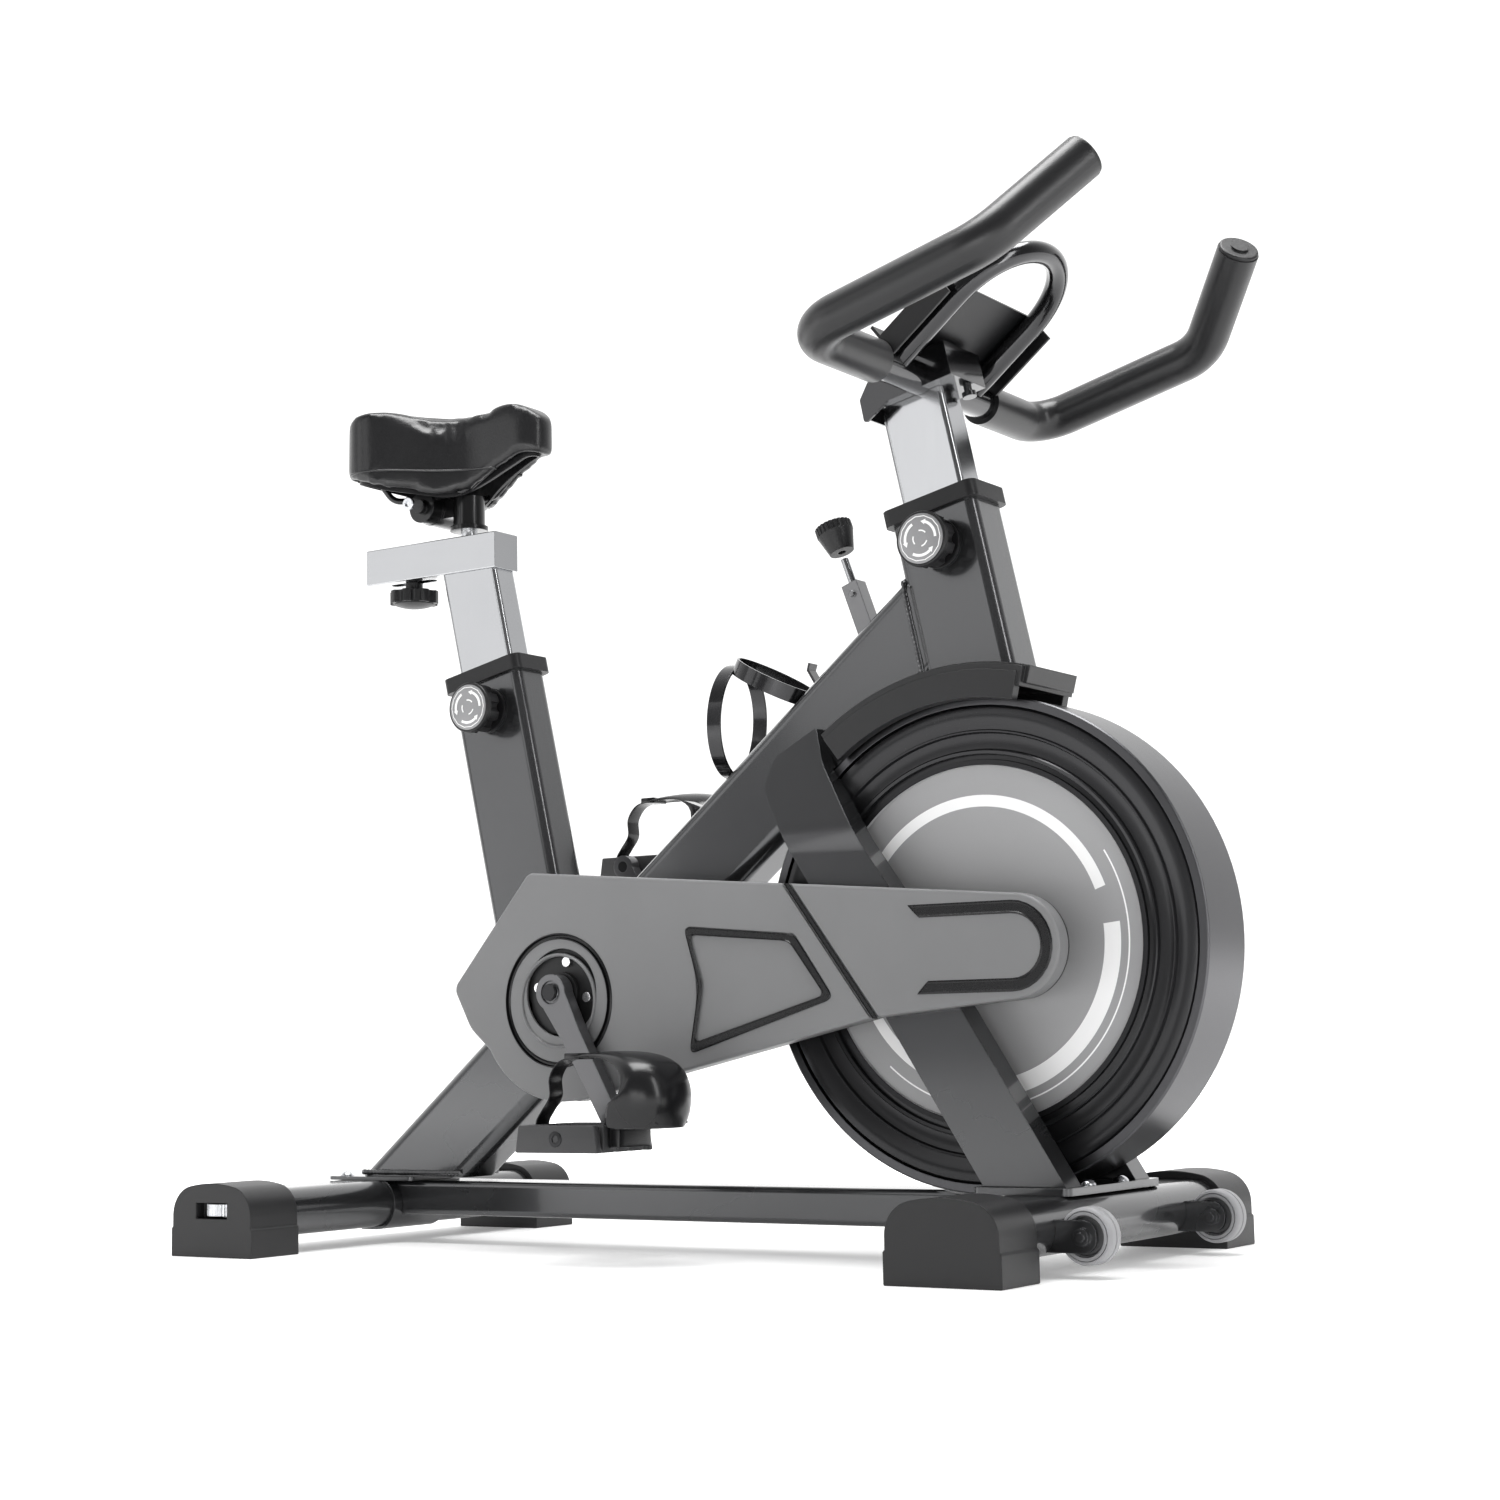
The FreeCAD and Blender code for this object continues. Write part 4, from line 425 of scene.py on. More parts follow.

# Belt drive: the pulley, the flat ribbed belt and the long two-piece cover over them. The cover is
# satin grey ABS with a gutter round its sunk panel, a ring round the crank and a slanting groove;
# these channels are coloured near black as painted shade.

cover_plastic = moulded_plastic("cover_abs", (0.190, 0.191, 0.194), 0.30, 1300.0, 0.0002, 0.0018)
dress(cover_plastic, "chain_cover_outer")
inner_plastic = moulded_plastic("inner_cover_abs", (0.022, 0.022, 0.023), 0.26, 1300.0, 0.0002, 0.0018)
dress(inner_plastic, "chain_cover_inner", "wheel_guard")
belt_rubber = moulded_plastic("belt_rubber", (0.012, 0.012, 0.012), 0.6, 900.0, 0.0003)
dress(belt_rubber, "drive_belt")
# Near-black gloss laid in the gutter, the crank ring and the slanting groove: painted shade in the channels
# of the grey cover.
groove_painted_shade = moulded_plastic("groove_painted_shade", (0.010, 0.010, 0.011), 0.18, 900.0, 0.0001, 0.0)
crank = middle("drive_pulley")
face_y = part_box("chain_cover_outer")[0][1]


def gutter(outer, inner, floor_y, closed=True):
    """A moulded channel between two outlines of the same count, sunk to a floor in its middle."""
    shape = bmesh.new()
    rings = []
    for share, y in ((0.0, face_y - 0.0004), (0.12, face_y - 0.0011), (0.3, floor_y), (0.7, floor_y),
                     (0.88, face_y - 0.0011), (1.0, face_y - 0.0004)):
        rings.append([shape.verts.new((a[0] + (b[0] - a[0]) * share, y, a[1] + (b[1] - a[1]) * share))
                      for a, b in zip(outer, inner)])
    count = len(outer)
    for first, second in zip(rings, rings[1:] + rings[:1]):
        for i in range(count if closed else count - 1):
            j = (i + 1) % count
            shape.faces.new((first[i], first[j], second[j], second[i]))
    if not closed:
        shape.faces.new([ring[0] for ring in rings])
        shape.faces.new([ring[-1] for ring in reversed(rings)])
    return tidy(shape)


def rounded(points, radius, steps=6):
    """Rounds the corners of a closed 2D outline."""
    outline = []
    for i, point in enumerate(points):
        here = Vector(point)
        before = (Vector(points[i - 1]) - here).normalized()
        after = (Vector(points[(i + 1) % len(points)]) - here).normalized()
        first = here + before * radius
        last = here + after * radius
        for k in range(steps + 1):
            t = k / steps
            outline.append(first * (1 - t) ** 2 + here * 2 * t * (1 - t) + last * t ** 2)
    return outline


panel = rounded([(0.009, 0.320), (0.137, 0.308), (0.180, 0.246), (0.014, 0.196), (0.026, 0.262)], 0.009)
core = sum(panel, Vector((0, 0))) / len(panel)
inside = [core + Vector(((p.x - core.x) * 0.90, (p.y - core.y) * 0.84)) for p in panel]
piece("panel_gutter", gutter(panel, inside, face_y + 0.0006), groove_painted_shade, "frame", "cover_plastic")
nose = Vector((0.3685, 0.288))
arc = [math.radians(-90 + 12 * i) for i in range(16)]
tip = [nose + Vector((math.cos(t), math.sin(t))) * 0.041 for t in arc]
lip = [nose + Vector((math.cos(t), math.sin(t))) * 0.029 for t in arc]
tip = [Vector((0.270, 0.2470))] + tip + [Vector((0.262, 0.3290))]
lip = [Vector((0.282, 0.2590))] + lip + [Vector((0.274, 0.3170))]
piece("nose_gutter", gutter(tip, lip, face_y + 0.0004, closed=False), groove_painted_shade, "frame", "cover_plastic")
slant = gutter([Vector((0.1265, 0.356)), Vector((0.2215, 0.226))],
               [Vector((0.1325, 0.356)), Vector((0.2275, 0.226))],
               face_y + 0.0010, closed=False)
piece("slant_groove", slant, groove_painted_shade, "frame", "cover_plastic")
ring_axis = Vector((-0.1465, face_y, 0.252))
ring = turned([(0.0615, -0.0004), (0.0628, -0.0012), (0.0636, 0.0012), (0.0652, 0.0012), (0.0662, -0.0014),
               (0.0676, -0.0004), (0.0676, 0.002), (0.0615, 0.002)], ring_axis, 96)
piece("crank_ring", ring, groove_painted_shade, "frame", "cover_plastic")
lipped = turned([(0.0442, -0.0003), (0.0448, -0.0014), (0.0458, -0.0019), (0.0470, -0.0014),
                 (0.0476, -0.0003),
                 (0.0476, 0.0030), (0.0442, 0.0030)], ring_axis, 96)
piece("crank_opening_lip", lipped, cover_plastic, "frame", "cover_plastic")

pulley_iron = Finish("pulley_iron")
hub_reach = radius_about(pulley_iron, crank)
face = pulley_iron.axes()[1]
bolt = (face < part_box("drive_pulley")[0][1] + 0.0049) * (hub_reach > 0.0205)
speck = pulley_iron.noise(400.0, detail=4.0)
pulley_iron.set(Base_Color=pulley_iron.mix(bolt, (0.035, 0.035, 0.036), (0.85, 0.85, 0.86)))
pulley_iron.set(Metallic=bolt * 0.6 + 0.4, Roughness=speck * 0.14 - bolt * 0.22 + 0.36)
pulley_iron.shade(speck, 0.12, 0.0002, edge=0.0008)
dress(pulley_iron, "drive_pulley")

# Cranks: forged steel arms pressed on the spindle, painted satin grey, each held by a black
# bolt with a hexagon socket.

crank_paint = powder_coat("crank_paint", (0.15, 0.15, 0.155), 0.30, 0.3)
dress(crank_paint, "right_crank_arm", "left_crank_arm")
black_steel = plated_steel("black_oxide", (0.055, 0.055, 0.057), 0.24)
dress(black_steel, "crank_hardware")


def hexagon(centre, axis, radius, depth, socket=0.5):
    """A bolt head standing along an axis: a chamfered disc with a sunk six-sided socket."""
    along = Vector(axis).normalized()
    out = along.orthogonal().normalized()
    other = along.cross(out)
    shape = bmesh.new()
    rings = []
    for count_radius, height in ((radius, 0.0), (radius, depth * 0.8), (radius * 0.88, depth),
                                 (radius * socket, depth),
                                 (radius * socket, depth * 0.35)):
        ring = []
        for i in range(36):
            turn = math.pi * i / 18
            reach_here = count_radius
            if count_radius == radius * socket:
                reach_here = count_radius / math.cos((turn % (math.pi / 3)) - math.pi / 6) * 0.9
            ring.append(shape.verts.new(Vector(centre) + along * height + out * math.cos(turn) * reach_here
                                        + other * math.sin(turn) * reach_here))
        rings.append(ring)
    for first, second in zip(rings, rings[1:]):
        for i in range(36):
            shape.faces.new((first[i], first[(i + 1) % 36], second[(i + 1) % 36], second[i]))
    shape.faces.new(rings[0])
    shape.faces.new(rings[-1])
    return tidy(shape)


# Wheel bolts: a zinc plated bolt head stands on both sides of each transport wheel.

for name in ("right", "left"):
    hub_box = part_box(name + "_transport_wheel")
    spot = middle(name + "_transport_wheel")
    for side in (-1, 1):
        nut = hexagon((spot.x, hub_box[0 if side < 0 else 1][1] - side * 0.0010, spot.z), (0, side, 0),
                      0.0078, 0.0044)
        piece(name + ("_outer_nut" if side < 0 else "_inner_nut"), nut, zinc, "frame", "bolt_steel")

# Crank bolts: one on the outer face of each arm, on the crank's axis.

for side in (-1, 1):
    name = "right" if side < 0 else "left"
    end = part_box(name + "_crank_arm")[0 if side < 0 else 1][1]
    head = hexagon((crank.x, end - side * 0.0004, crank.z), (0, side, 0), 0.0085, 0.0024)
    piece(name + "_crank_socket", head, black_steel, "crankset", "bolt_steel")

# Pedals: nylon platforms with slotted tread blocks and small teeth, and glossy hoods open at the
# sides. A flat strap runs back from each hood's top, down to the rear of the platform.

pedal_nylon = moulded_plastic("pedal_nylon", (0.055, 0.055, 0.057), 0.34, 1400.0, 0.0003)
hood_gloss = moulded_plastic("hood_gloss", (0.014, 0.014, 0.015), 0.12, 500.0, 0.00004, 0.0)


def block(x0, x1, y0, y1, z0, z1, bevel=0.0008, taper=0.0):
    """A bevelled box between two corners; its top may be shorter along X by a taper at each end."""
    shape = bmesh.new()
    bmesh.ops.create_cube(shape, size=1.0)
    for v in shape.verts:
        inset = taper if v.co.z > 0 else 0.0
        v.co = Vector((x0 + inset if v.co.x < 0 else x1 - inset, y0 if v.co.y < 0 else y1,
                       z0 if v.co.z < 0 else z1))
    bmesh.ops.bevel(shape, geom=shape.edges[:], offset=bevel, segments=2, profile=0.5, affect="EDGES",
                    material=-1)
    return tidy(shape)


def strap(points, half, thick, y):
    """A flat band of material swept through XZ points, smoothed between them."""
    route = []
    for i in range(len(points) - 1):
        p = [Vector(points[min(max(i + k, 0), len(points) - 1)]) for k in (-1, 0, 1, 2)]
        for k in range(6):
            t = k / 6
            route.append(0.5 * (2 * p[1] + (p[2] - p[0]) * t + (2 * p[0] - 5 * p[1] + 4 * p[2] - p[3]) * t * t
                                + (3 * p[1] - p[0] - 3 * p[2] + p[3]) * t ** 3))
    route.append(Vector(points[-1]))
    shape = bmesh.new()
    rings = []
    for i, spot in enumerate(route):
        run = (route[min(i + 1, len(route) - 1)] - route[max(i - 1, 0)]).normalized()
        off = Vector((-run.y, run.x)) * thick / 2
        ring = []
        for across_y, lift in ((-half, -0.6), (-half, 0.6), (-half * 0.8, 1), (half * 0.8, 1), (half, 0.6),
                               (half, -0.6), (half * 0.8, -1), (-half * 0.8, -1)):
            ring.append(shape.verts.new((spot.x + off.x * lift, y + across_y, spot.y + off.y * lift)))
        rings.append(ring)
    for first, second in zip(rings, rings[1:]):
        for i in range(8):
            shape.faces.new((first[i], first[(i + 1) % 8], second[(i + 1) % 8], second[i]))
    shape.faces.new(rings[0])
    shape.faces.new(rings[-1])
    return tidy(shape)


for side in (-1, 1):
    name = "right" if side < 0 else "left"
    low, high = (Vector(c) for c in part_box(name + "_pedal_body"))
    tread = block(low.x, high.x, low.y, low.y + 0.009, low.z, high.z, 0.0015, taper=0.004)
    add_to(tread, block(low.x, high.x, high.y - 0.009, high.y, low.z, high.z, 0.0015, taper=0.004))
    mid = (low + high) / 2
    span = (high.y - low.y - 0.018 - 0.004 * 4) / 3
    for i in range(3):
        start = low.y + 0.013 + i * (span + 0.004)
        for x0, x1 in ((low.x + 0.002, low.x + 0.014), (high.x - 0.014, high.x - 0.002)):
            add_to(tread, block(x0, x1, start, start + span, low.z + 0.0012, high.z - 0.0012, 0.0008))
            for k in range(4):
                tooth = start + 0.001 + k * (span - 0.002) / 4
                add_to(tread, block(x0 + 0.001, x1 - 0.001, tooth, tooth + 0.0032, low.z, high.z, 0.0004))
    for x0, x1 in ((low.x + 0.006, low.x + 0.012), (high.x - 0.012, high.x - 0.006)):
        add_to(tread, block(x0, x1, low.y + 0.006, high.y - 0.006, low.z + 0.005, high.z - 0.005, 0.0008))
    barrel = turned([(0.0055, low.y + 0.004 - mid.y), (0.0115, low.y + 0.004 - mid.y), (0.0095, -0.012),
                     (0.0095, 0.012),
                     (0.0115, high.y - 0.004 - mid.y), (0.0055, high.y - 0.004 - mid.y)], mid, 40)
    add_to(tread, barrel)
    add_to(tread,
           block(low.x + 0.010, high.x - 0.010, mid.y - 0.004, mid.y + 0.004, mid.z - 0.004, mid.z + 0.004))
    piece(name + "_pedal_platform", tread, pedal_nylon, name + "_pedal", "pedal_plastic",
          name + "_pedal_body")

    deck = high.z + 0.0002
    stations = [((0.104, -0.004), 0, 0.040, 0.050), ((0.110, 0.010), 2, 0.044, 0.052),
                ((0.112, 0.028), 8, 0.0445, 0.052),
                ((0.107, 0.045), 30, 0.0445, 0.048), ((0.096, 0.057), 55, 0.043, 0.036),
                ((0.080, 0.0635), 76, 0.038, 0.020),
                ((0.060, 0.0660), 90, 0.029, 0.010), ((0.036, 0.0662), 90, 0.018, 0.004),
                ((0.014, 0.0650), 94, 0.0130, 0.002), ((-0.006, 0.0625), 98, 0.0115, 0.001)]
    hood = bmesh.new()
    grid = []
    for (ahead, above_deck), tilt, half, wrap in stations:
        normal = Vector((math.cos(math.radians(tilt)), 0, math.sin(math.radians(tilt))))
        row = []
        for i in range(13):
            turn = math.radians(-90 + 15 * i)
            spot = Vector((mid.x + ahead, mid.y + half * math.sin(turn), deck + above_deck))
            row.append(hood.verts.new(spot - normal * wrap * (1 - math.cos(turn)) ** 1.4))
        grid.append(row)
    for first, second in zip(grid, grid[1:]):
        for i in range(12):
            hood.faces.new((first[i], first[i + 1], second[i + 1], second[i]))
    tidy(hood)
    if sum(f.normal.x for f in hood.faces) < 0:
        bmesh.ops.reverse_faces(hood, faces=hood.faces)
    bmesh.ops.solidify(hood, geom=hood.faces[:], thickness=-0.0026)
    add_to(hood,
           block(high.x - 0.001, high.x + 0.012, mid.y - 0.026, mid.y + 0.026, low.z + 0.004, deck - 0.002,
                 0.0014))
    add_to(hood,
           block(high.x - 0.006, mid.x + 0.104, mid.y - 0.026, mid.y + 0.026, deck - 0.0005, deck + 0.0022))
    shell = piece(name + "_toe_hood", hood, hood_gloss, name + "_pedal", "hood_plastic", name + "_toe_cage",
                  sharp=50)
    smooth = shell.modifiers.new("smooth", "SUBSURF")
    smooth.levels = 1
    smooth.render_levels = 1
    band_route = [(mid.x + 0.010, deck + 0.0655), (mid.x - 0.008, deck + 0.0632),
                  (mid.x - 0.024, deck + 0.0580),
                  (mid.x - 0.034, deck + 0.044), (mid.x - 0.034, deck + 0.026),
                  (mid.x - 0.044, deck + 0.012),
                  (mid.x - 0.0505, deck + 0.002), (mid.x - 0.0505, deck - 0.012)]
    webbing = strap(band_route, 0.0100, 0.0018, mid.y)
    add_to(webbing,
           block(mid.x - 0.014, mid.x + 0.004, mid.y - 0.0125, mid.y + 0.0125, deck + 0.0612, deck + 0.0672,
                 0.001))
    piece(name + "_toe_strap", webbing, hood_gloss, name + "_pedal", "hood_plastic")
    nut = hexagon((mid.x, (low.y if side < 0 else high.y) - side * 0.001, mid.z), (0, side, 0), 0.0075,
                  0.0018)
    piece(name + "_pedal_cap", nut, black_steel, name + "_pedal", "bolt_steel")

# Bottle cage and brake sleeve: bent steel strip and square bar, painted dark grey.

strip_paint = powder_coat("strip_paint", (0.030, 0.030, 0.032), 0.18, 0.7)
dress(strip_paint, "bottle_cage")
sleeve_paint = powder_coat("sleeve_paint", (0.20, 0.20, 0.205), 0.30, 0.3)
dress(sleeve_paint, "brake_housing")
felt = Finish("brake_felt", Roughness=0.95)
fibre = felt.noise(1200.0, detail=6.0, rough=0.75)
felt.tone((0.20, 0.17, 0.14), 0.25, fibre)
felt.shade(fibre, 0.8, 0.0008)
dress(felt, "brake_pad")

# Chromed posts and slide rail: drawn steel tube, nickel and chrome plated.


def chrome_plate(name, stretch):
    chrome = Finish(name, Metallic=1.0)
    draw = chrome.noise(300.0, detail=3.0, stretch=stretch)
    haze = chrome.noise(14.0)
    chrome.set(Roughness=draw * 0.06 + haze * 0.06 + 0.12)
    chrome.tone((0.42, 0.425, 0.435), 0.06, haze)
    return chrome.shade(draw, 0.05, 0.0001, edge=0.0010)


post_chrome = chrome_plate("post_chrome", (1.0, 1.0, 0.04))
dress(post_chrome, "seat_post", "bar_post", "brake_rod")
rail_chrome = chrome_plate("rail_chrome", (0.04, 1.0, 1.0))
dress(rail_chrome, "seat_slide_rail")

# Saddle: a foam pad in black vinyl, pulled over a moulded base and welted round its skirt. Two
# wire rails and a tilt clamp with a hexagon bolt carry it.

clamp_paint = powder_coat("clamp_paint", (0.030, 0.030, 0.031), 0.24, 0.5)
dress(clamp_paint, "saddle_clamp", "saddle_rails")
dress(black_plastic, "saddle_shell")
vinyl = Finish("saddle_vinyl", Specular_IOR_Level=0.6, Coat_Weight=0.15, Coat_Roughness=0.3)
leather = vinyl.node("ShaderNodeTexVoronoi", {"feature": "SMOOTH_F1"}, Vector=vinyl.place(), Scale=420.0)
wear = vinyl.noise(16.0, detail=4.0)
vinyl.set(Roughness=wear * 0.10 + leather * 0.08 + 0.24)
vinyl.tone((0.010, 0.010, 0.011), 0.15, wear)
vinyl.shade(leather + wear * 0.5, 0.22, 0.0005)


def baked(thing):
    """Turns a piece's modifiers into its mesh."""
    result = bpy.data.meshes.new_from_object(thing.evaluated_get(bpy.context.evaluated_depsgraph_get()))
    thing.modifiers.clear()
    thing.data = result


pad_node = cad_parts["saddle_pad"]
pad = bmesh.new()
pad.from_mesh(pad_node.data)
bmesh.ops.transform(pad, matrix=pad_node.matrix_world, verts=pad.verts)
tidy(pad, 1e-5)
for v, push in [(v, v.normal.copy()) for v in pad.verts]:
    v.co -= push * 0.0015
cushion = piece("saddle_cushion", pad, vinyl, "saddle", "saddle_vinyl", "saddle_pad", sharp=180)
remesh = cushion.modifiers.new("skin", "REMESH")
remesh.mode = "VOXEL"
remesh.voxel_size = 0.0045
remesh.use_smooth_shade = True
soften = cushion.modifiers.new("soften", "SMOOTH")
soften.iterations = 5
baked(cushion)
rest = [v.co.copy() for v in cushion.data.vertices]
cloth = cushion.modifiers.new("puff", "CLOTH")
cloth.settings.quality = 4
cloth.settings.use_pressure = True
cloth.settings.uniform_pressure_force = 4.0
cloth.settings.effector_weights.gravity = 0.0
cloth.point_cache.frame_end = 20
for step in range(1, 21):
    bpy.context.scene.frame_set(step)
baked(cushion)
for v, start in zip(cushion.data.vertices, rest):
    moved = v.co - start
    if moved.length > 0.003:
        v.co = start + moved * (0.003 / moved.length)
bpy.context.scene.frame_set(1)
cushion.data.shade_smooth()
finer = cushion.modifiers.new("finer", "SUBSURF")
finer.levels = 1
finer.render_levels = 1
baked(cushion)

skin = bmesh.new()
skin.from_mesh(cushion.data)
tree = BVHTree.FromBMesh(skin)
skin.free()
pad_mid = middle("saddle_pad")
pad_size = size("saddle_pad")


def welt(height, radius):
    """A piped seam laid on the cushion's skirt at one height."""
    spots = []
    for i in range(144):
        turn = math.pi * i / 72
        aim = Vector((math.cos(turn) * pad_size.x * 0.46, math.sin(turn) * pad_size.y * 0.46, 0))
        start = Vector((pad_mid.x, pad_mid.y, height)) + aim * 3
        hit = tree.ray_cast(start, -aim.normalized())[0]
        if hit:
            spots.append(hit - aim.normalized() * radius * 0.2)
    shape = bmesh.new()
    rings = []
    for i, spot in enumerate(spots):
        run = (spots[(i + 1) % len(spots)] - spots[i - 1]).normalized()
        out = run.cross(Vector((0, 0, 1))).normalized()
        up = out.cross(run)
        rings.append([shape.verts.new(spot + (out * math.cos(t) + up * math.sin(t)) * radius)
                      for t in (math.pi * k / 4 for k in range(8))])
    for first, second in zip(rings, rings[1:] + rings[:1]):
        for k in range(8):
            shape.faces.new((first[k], first[(k + 1) % 8], second[(k + 1) % 8], second[k]))
    return tidy(shape)


piece("saddle_welt", welt(pad_mid.z - pad_size.z * 0.22, 0.0016), vinyl, "saddle", "saddle_vinyl")
for side in (-1, 1):
    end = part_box("saddle_rails")[0 if side < 0 else 1][1]
    head = hexagon((-0.389, end - side * 0.0005, 0.802), (0, side, 0), 0.0075, 0.0030)
    piece(("right" if side < 0 else "left") + "_tilt_bolt", head, zinc, "saddle", "bolt_steel")

# Handlebar: bent steel tube in gloss black with foam grips, end plugs, the inner loop and bracket.

bar_paint = powder_coat("bar_gloss", (0.030, 0.030, 0.032), 0.13, 0.9)
dress(bar_paint, "handlebar", "center_loop", "bar_bracket")
foam = Finish("grip_foam", Sheen_Weight=0.1, Sheen_Roughness=0.5, Specular_IOR_Level=0.55)
cells = foam.noise(1500.0, detail=4.0, rough=0.7)
skin_cloud = foam.noise(40.0, detail=3.0)
foam.set(Roughness=skin_cloud * 0.08 + 0.27)
foam.tone((0.013, 0.013, 0.014), 0.22, cells)
foam.shade(cells, 0.22, 0.0003)
dress(foam, "bar_grips")
hanger = hexagon((0.252, 0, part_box("bar_bracket")[0][2] + 0.001), (0, 0, -1), 0.007, 0.012)
piece("bracket_bolt", hanger, zinc, "bars", "bolt_steel")

# Display: a moulded housing on the tablet tray, with a grey liquid crystal window under a clear
# cover, a bezel, one round rubber button and two small ones.

screen_axis = math.radians(38.3)
along_tray = Vector((math.cos(screen_axis), 0, math.sin(screen_axis)))
off_tray = Vector((-math.sin(screen_axis), 0, math.cos(screen_axis)))
screen_spot = Vector((0.252, 0, 0.856)) + along_tray * 0.045 + off_tray * 0.035
on_tray = Matrix((along_tray, Vector((0, 1, 0)), off_tray)).transposed().to_4x4()
on_tray.translation = screen_spot


def laid(shape):
    bmesh.ops.transform(shape, matrix=on_tray, verts=shape.verts)
    return tidy(shape)


glass = Finish("display_glass", Coat_Weight=1.0, Coat_Roughness=0.02)
smear = glass.noise(60.0, detail=3.0)
glass.set(Roughness=smear * 0.05 + 0.10)
glass.tone((0.16, 0.19, 0.17), 0.06, smear)
piece("display_bezel", laid(block(-0.026, 0.030, -0.046, 0.046, -0.002, 0.0012, 0.001)), hood_gloss, "bars",
      "cap_plastic")
piece("display_window", laid(block(-0.004, 0.025, -0.037, 0.037, -0.001, 0.0018, 0.0006)), glass, "bars",
      "cap_plastic")
buttons = block(-0.021, -0.011, -0.034, -0.016, -0.001, 0.0028, 0.001)
add_to(buttons, block(-0.021, -0.011, 0.016, 0.034, -0.001, 0.0028, 0.001))
add_to(buttons, turned([(0.0, -0.001), (0.0065, -0.001), (0.0065, 0.0026), (0.0058, 0.0034), (0.0, 0.0036)],
                       (-0.016, 0, 0), 40, axis=(0, 0, 1), closed=False))
piece("display_buttons", laid(buttons), tyre_rubber, "bars", "cap_plastic")

# Pull pins: each lobed nylon grip is capped by a grey disc printed with
# a ring of curved arrows that show which way it is turned.

cap_grey = Finish("knob_cap", Metallic=0.25)
sweep = cap_grey.noise(500.0, detail=3.0)
cap_grey.set(Roughness=sweep * 0.08 + 0.30)
cap_grey.tone((0.27, 0.27, 0.275), 0.05, sweep)
cap_grey.shade(sweep, 0.08, 0.0001)
print_white = Finish("white_print")
ink = print_white.noise(900.0, detail=2.0)
print_white.set(Roughness=ink * 0.1 + 0.40)
print_white.tone((0.80, 0.80, 0.80), 0.04, ink)


def sector(spot, y0, y1, inner, outer, start, stop, head=0.0):
    """A flat curved bar round a Y axis, drawn out to an arrow head when it has one."""
    shape = bmesh.new()
    steps = 14
    lines = []
    for i in range(steps + 1):
        turn = math.radians(start + (stop - start) * i / steps)
        lines.append((turn, inner, outer))
    if head:
        turn = math.radians(stop)
        centre_r = (inner + outer) / 2
        reach_r = outer - inner
        lines.append((turn, centre_r - reach_r, centre_r + reach_r))
        lines.append((turn + math.radians(head), centre_r - 0.0001, centre_r + 0.0001))
    rings = []
    for turn, near_r, far_r in lines:
        ring = []
        for r, y in ((near_r, y0), (far_r, y0), (far_r, y1), (near_r, y1)):
            ring.append(shape.verts.new((spot.x + r * math.cos(turn), y, spot.z + r * math.sin(turn))))
        rings.append(ring)
    for first, second in zip(rings, rings[1:]):
        for k in range(4):
            shape.faces.new((first[k], first[(k + 1) % 4], second[(k + 1) % 4], second[k]))
    shape.faces.new(rings[0])
    shape.faces.new(rings[-1])
    bmesh.ops.recalc_face_normals(shape, faces=shape.faces)
    return shape


for name, body in (("seat_pin_knob", "seat_plunger_knob"), ("head_pin_knob", "head_plunger_knob")):
    centre = middle(name)
    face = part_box(name)[0][1]
    radius = size(name).z / 2
    disc = turned([(0.0, -0.0010), (radius * 0.86, -0.0010), (radius * 0.90, -0.0006),
                   (radius * 0.90, 0.0010),
                   (0.0, 0.0010)], (centre.x, face, centre.z), 64, closed=False)
    piece(name + "_cap", disc, cap_grey, body, "knob_plastic")
    marks = sector(centre, face - 0.0012, face - 0.0009, radius * 0.79, radius * 0.82, 0, 359.9)
    for i in range(3):
        add_to(marks, sector(centre, face - 0.0012, face - 0.0009, radius * 0.56, radius * 0.66, 120 * i,
                             120 * i + 70, head=16))
        add_to(marks,
               sector(centre, face - 0.0012, face - 0.0009, radius * 0.26, radius * 0.31, 120 * i + 40,
                             120 * i + 100))
    piece(name + "_marks", marks, print_white, body, "knob_plastic")

# Studio: a pale floor that glows as painted light, dim round the bike and full white further off, a white
# surround and large soft lamps.

floor_finish = Finish("studio_floor", Roughness=0.55, Emission_Strength=1.0)
dust = floor_finish.noise(3.0)
floor_finish.tone((0.80, 0.80, 0.80), 0.01, dust)
ground_x, ground_y, _ = floor_finish.axes()
square_away = ground_x * ground_x + ground_y * ground_y
away = square_away.math("SQRT", square_away)
# Painted light: the floor's emission rises from 0.22 within half a metre of the middle to full white by 2.6
# m.
painted_floor_glow = floor_finish.node("ShaderNodeMapRange", {"interpolation_type": "SMOOTHSTEP"}, Value=away,
                         From_Min=0.5,
                         From_Max=2.6, To_Min=0.22, To_Max=1.0)
floor_finish.set(Emission_Color=floor_finish.mix(painted_floor_glow, (0, 0, 0), (1, 1, 1)))
ground = bmesh.new()
bmesh.ops.create_grid(ground, x_segments=4, y_segments=4, size=14.0)
floor_mesh = bpy.data.meshes.new("floor")
ground.to_mesh(floor_mesh)
ground.free()
floor_mesh.materials.append(floor_finish.material)
floor = bpy.data.objects.new("floor", floor_mesh)
bpy.context.collection.objects.link(floor)

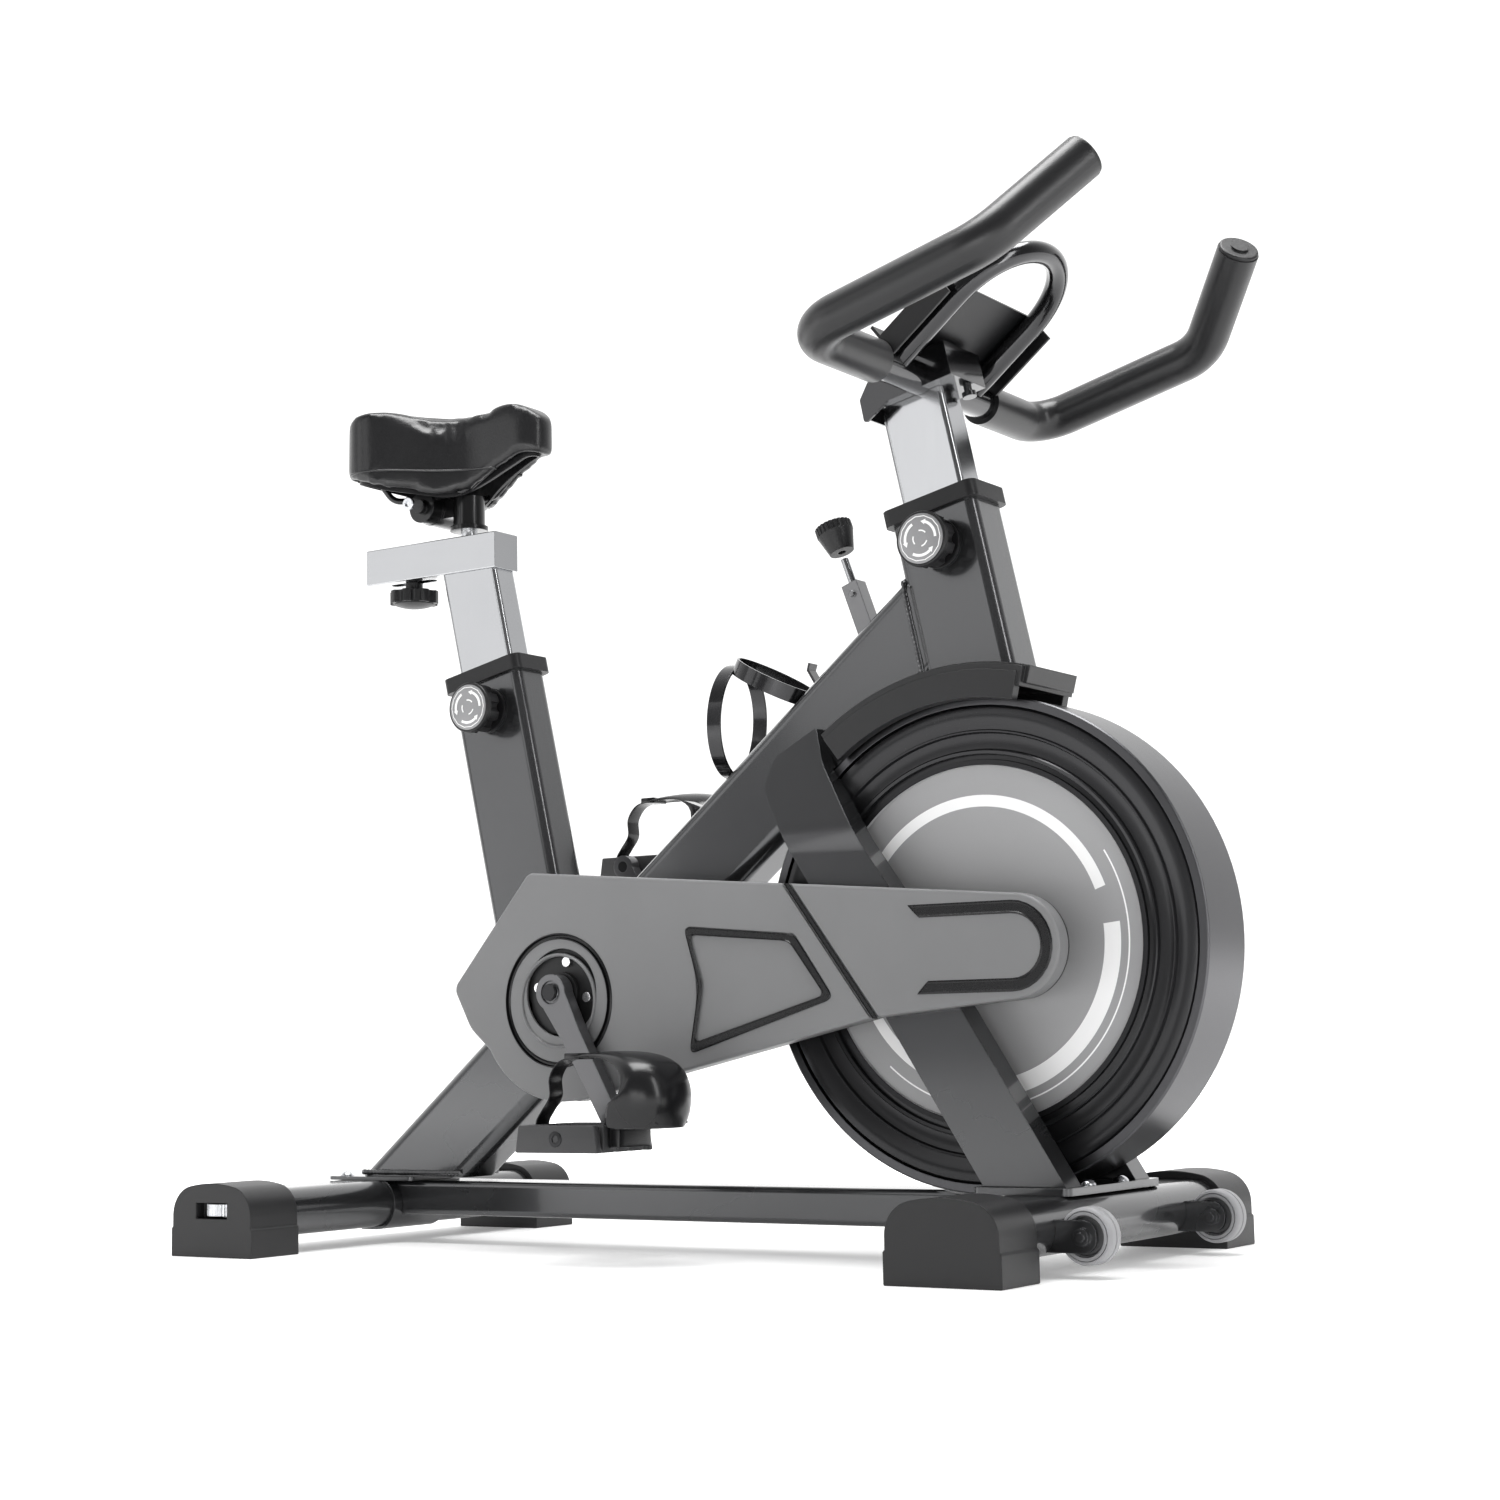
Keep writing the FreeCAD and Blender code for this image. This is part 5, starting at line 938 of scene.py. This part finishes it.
world = bpy.data.worlds.new("studio_surround")
world.use_nodes = True
sky = world.node_tree
backdrop = sky.nodes["Background"]
direction = sky.nodes.new("ShaderNodeTexCoord")
facing = sky.nodes.new("ShaderNodeVectorMath")
facing.operation = "DOT_PRODUCT"
sky.links.new(direction.outputs["Generated"], facing.inputs[0])
facing.inputs[1].default_value = (-0.558, 0.830, 0.12)
spread = sky.nodes.new("ShaderNodeMapRange")
spread.interpolation_type = "SMOOTHSTEP"
for label, value in (("From Min", -0.35), ("From Max", 0.75), ("To Min", 0.22), ("To Max", 1.06)):
    spread.inputs[label].default_value = value
sky.links.new(facing.outputs["Value"], spread.inputs["Value"])
sky.links.new(spread.outputs["Result"], backdrop.inputs["Strength"])
backdrop.inputs["Color"].default_value = (1, 1, 1, 1)
bpy.context.scene.world = world
bpy.context.scene.view_settings.view_transform = "Standard"
bpy.context.scene.view_settings.look = "Medium High Contrast"


def softbox(name, spot, aim, width, height, power):
    lamp = bpy.data.lights.new(name, "AREA")
    lamp.shape = "RECTANGLE"
    lamp.size = width
    lamp.size_y = height
    lamp.energy = power
    holder = bpy.data.objects.new(name, lamp)
    holder.location = spot
    holder.rotation_euler = (Vector(aim) - Vector(spot)).to_track_quat("-Z", "Y").to_euler()
    bpy.context.collection.objects.link(holder)


softbox("overhead", (0.2, -0.2, 3.0), (0, 0, 0.3), 2.4, 1.4, 85.0)
softbox("front_right", (3.0, -0.7, 1.5), (0, 0, 0.5), 0.5, 2.6, 22.0)
softbox("rear_right", (-2.4, -2.4, 1.1), (0, 0, 0.5), 1.1, 2.2, 8.5)
softbox("mid_right", (-1.15, -2.60, 1.45), (0.1, 0, 0.6), 0.75, 1.3, 4.0)
softbox("low_right", (1.2, -3.0, 0.25), (0.2, 0, 0.3), 2.0, 0.35, 7.0)

eye = Vector((1.458, -2.1567, 0.2014))
yaw, pitch, roll = (math.radians(a) for a in (123.93, 6.77, -1.05))
forward = Vector((math.cos(pitch) * math.cos(yaw), math.cos(pitch) * math.sin(yaw), math.sin(pitch)))
level = forward.cross(Vector((0, 0, 1))).normalized()
upright = level.cross(forward)
across = level * math.cos(roll) + upright * math.sin(roll)
above = upright * math.cos(roll) - level * math.sin(roll)
lens = bpy.data.cameras.new("camera")
lens.sensor_width = 36.0
lens.lens = 61.71
lens.shift_x = 0.00725
lens.shift_y = -0.0049
camera = bpy.data.objects.new("camera", lens)
camera.matrix_world = Matrix((across, above, -forward)).transposed().to_4x4()
camera.location = eye
bpy.context.collection.objects.link(camera)
bpy.context.scene.camera = camera
